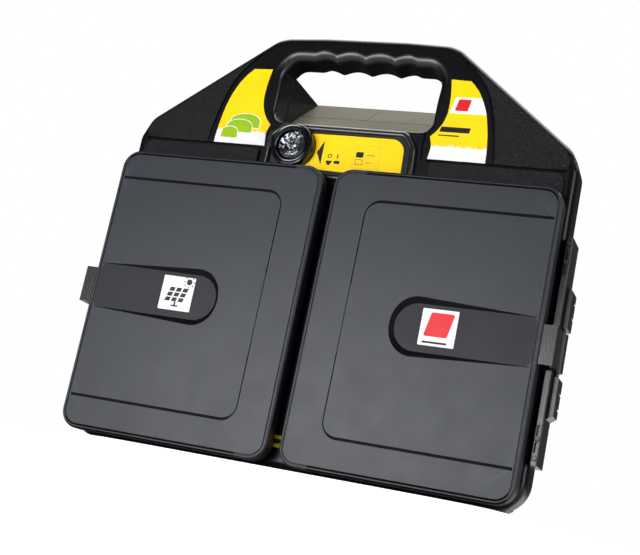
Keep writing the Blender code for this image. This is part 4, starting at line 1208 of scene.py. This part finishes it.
def dress_frame():
    """Gives each CAD part its material, and soft edges where it shows."""
    for name, obj in NODES.items():
        material = SLOT_MATERIALS[obj.data.materials[0].name.split(".")[0]]
        if "hinge_bracket" in name or "hinge_arm" in name:
            material = HINGE_BLACK
        if "hinge_pin" in name or "bracket_screw" in name:
            material = DARK_STEEL
        if "solar_panel" in name:
            material = GLOSS_BLACK
        if name in ("push_switch", "battery_tray"):
            material = CASE_BLACK
        obj.material_slots[0].material = material
    softness = {
        0.0006: ("rear_housing", "battery_door", "left_hinge_bracket", "right_hinge_bracket"),
        0.0005: ("left_wing_panel_frame", "right_wing_panel_frame", "battery"),
        0.0004: (
            "left_wing_hinge_arm",
            "right_wing_hinge_arm",
            "fence_terminal_knob",
            "earth_terminal_knob",
        ),
    }
    for width, names in softness.items():
        for name in names:
            soften(NODES[name], width)


# Stage


def floor():
    """A pale mound: level under the object, falling away on every side."""
    steps = 96
    bm = bmesh.new()
    centre = bm.verts.new((0, 0, 0))
    rings = []
    for distance in (0.0, 0.02, 0.06, 0.14, 0.3, 0.6, 1.2, 2.4, 5.0, 9.0):
        row = []
        for step in range(steps):
            angle = math.tau * step / steps
            c, s = math.cos(angle), math.sin(angle)
            shape = (abs(c) ** 6 + abs(s) ** 6) ** (-1 / 6)
            x = c * shape * FOOT_HALF_WIDTH + c * distance
            y = s * shape * FOOT_HALF_DEPTH + s * distance
            row.append(bm.verts.new((x, y, -FLOOR_SLOPE * distance)))
        rings.append(row)
    for i in range(steps):
        bm.faces.new((centre, rings[0][i], rings[0][(i + 1) % steps]))
    skin(bm, rings)
    n = Nodes("floor_paper")
    tone = n.ramp(n.noise(0.4, 2.0), [(0.3, (0.9, 0.9, 0.9)), (0.7, (0.93, 0.93, 0.93))])
    n.set(Base_Color=tone, Roughness=0.95)
    glow = n.between(n.add("ShaderNodeLightPath").outputs["Is Camera Ray"], 0.0, 0.85, 0.0, 1.0)
    n.set(Emission_Color=(1.0, 1.0, 1.0), Emission_Strength=glow)
    piece = finish_piece("floor", bm, [n.material], None)


def softbox(name, place, aim, width, height, power, color=(1.0, 1.0, 1.0)):
    data = bpy.data.lights.new(name, "AREA")
    data.shape = "RECTANGLE"
    data.size = width
    data.size_y = height
    data.energy = power
    data.color = color
    lamp = bpy.data.objects.new(name, data)
    bpy.context.scene.collection.objects.link(lamp)
    lamp.location = place
    lamp.rotation_euler = (Vector(aim) - Vector(place)).to_track_quat("-Z", "Y").to_euler()


def lights():
    middle = (0, 0, 0.2)
    softbox("top_softbox", (0.0, 0.55, 1.75), middle, 2.2, 1.8, 55)
    softbox("front_softbox", (-0.52, -1.75, -0.02), (0, 0, 0.1), 1.0, 0.9, 40, (0.95, 0.97, 1.0))
    softbox("right_softbox", (1.9, -0.75, 0.55), middle, 0.5, 1.6, 18)
    world = bpy.data.worlds.new("studio")
    world.use_nodes = True
    tree = world.node_tree
    seen = tree.nodes["Background"]
    glow = tree.nodes.new("ShaderNodeBackground")
    for node, strength in ((seen, 1.0), (glow, 0.06)):
        node.inputs["Color"].default_value = (1, 1, 1, 1)
        node.inputs["Strength"].default_value = strength
    path = tree.nodes.new("ShaderNodeLightPath")
    mix = tree.nodes.new("ShaderNodeMixShader")
    tree.links.new(path.outputs["Is Camera Ray"], mix.inputs["Fac"])
    tree.links.new(glow.outputs["Background"], mix.inputs[1])
    tree.links.new(seen.outputs["Background"], mix.inputs[2])
    tree.links.new(mix.outputs["Shader"], tree.nodes["World Output"].inputs["Surface"])
    bpy.context.scene.world = world
    bpy.context.scene.view_settings.view_transform = "Standard"


def camera():
    """The camera stands low and to the right, looks up a little, and is rolled."""
    aim = Vector((-0.01566, -0.00342, 0.18319))
    distance, focal_length = 1.15, 69.739
    azimuth, elevation, roll = (math.radians(a) for a in (21.889, -12.175, 11.807))
    level = math.cos(elevation)
    back = Vector((math.sin(azimuth) * level, -math.cos(azimuth) * level, math.sin(elevation)))
    right = Vector((math.cos(azimuth), math.sin(azimuth), 0))
    up = back.cross(right)
    turned_right = right * math.cos(roll) + up * math.sin(roll)
    turned_up = up * math.cos(roll) - right * math.sin(roll)
    data = bpy.data.cameras.new("camera")
    data.lens = focal_length
    data.sensor_width = 36.0
    eye = bpy.data.objects.new("camera", data)
    bpy.context.scene.collection.objects.link(eye)
    turn = Matrix((turned_right, turned_up, back)).transposed().to_4x4()
    eye.matrix_world = Matrix.Translation(aim + back * distance) @ turn
    bpy.context.scene.camera = eye


camera()
lights()
floor()
dress_frame()
case_front()
shell_bands()
recess_lining()
console()
side_labels()
front_label()
wing("left_wing", -1)
wing("right_wing", 1)
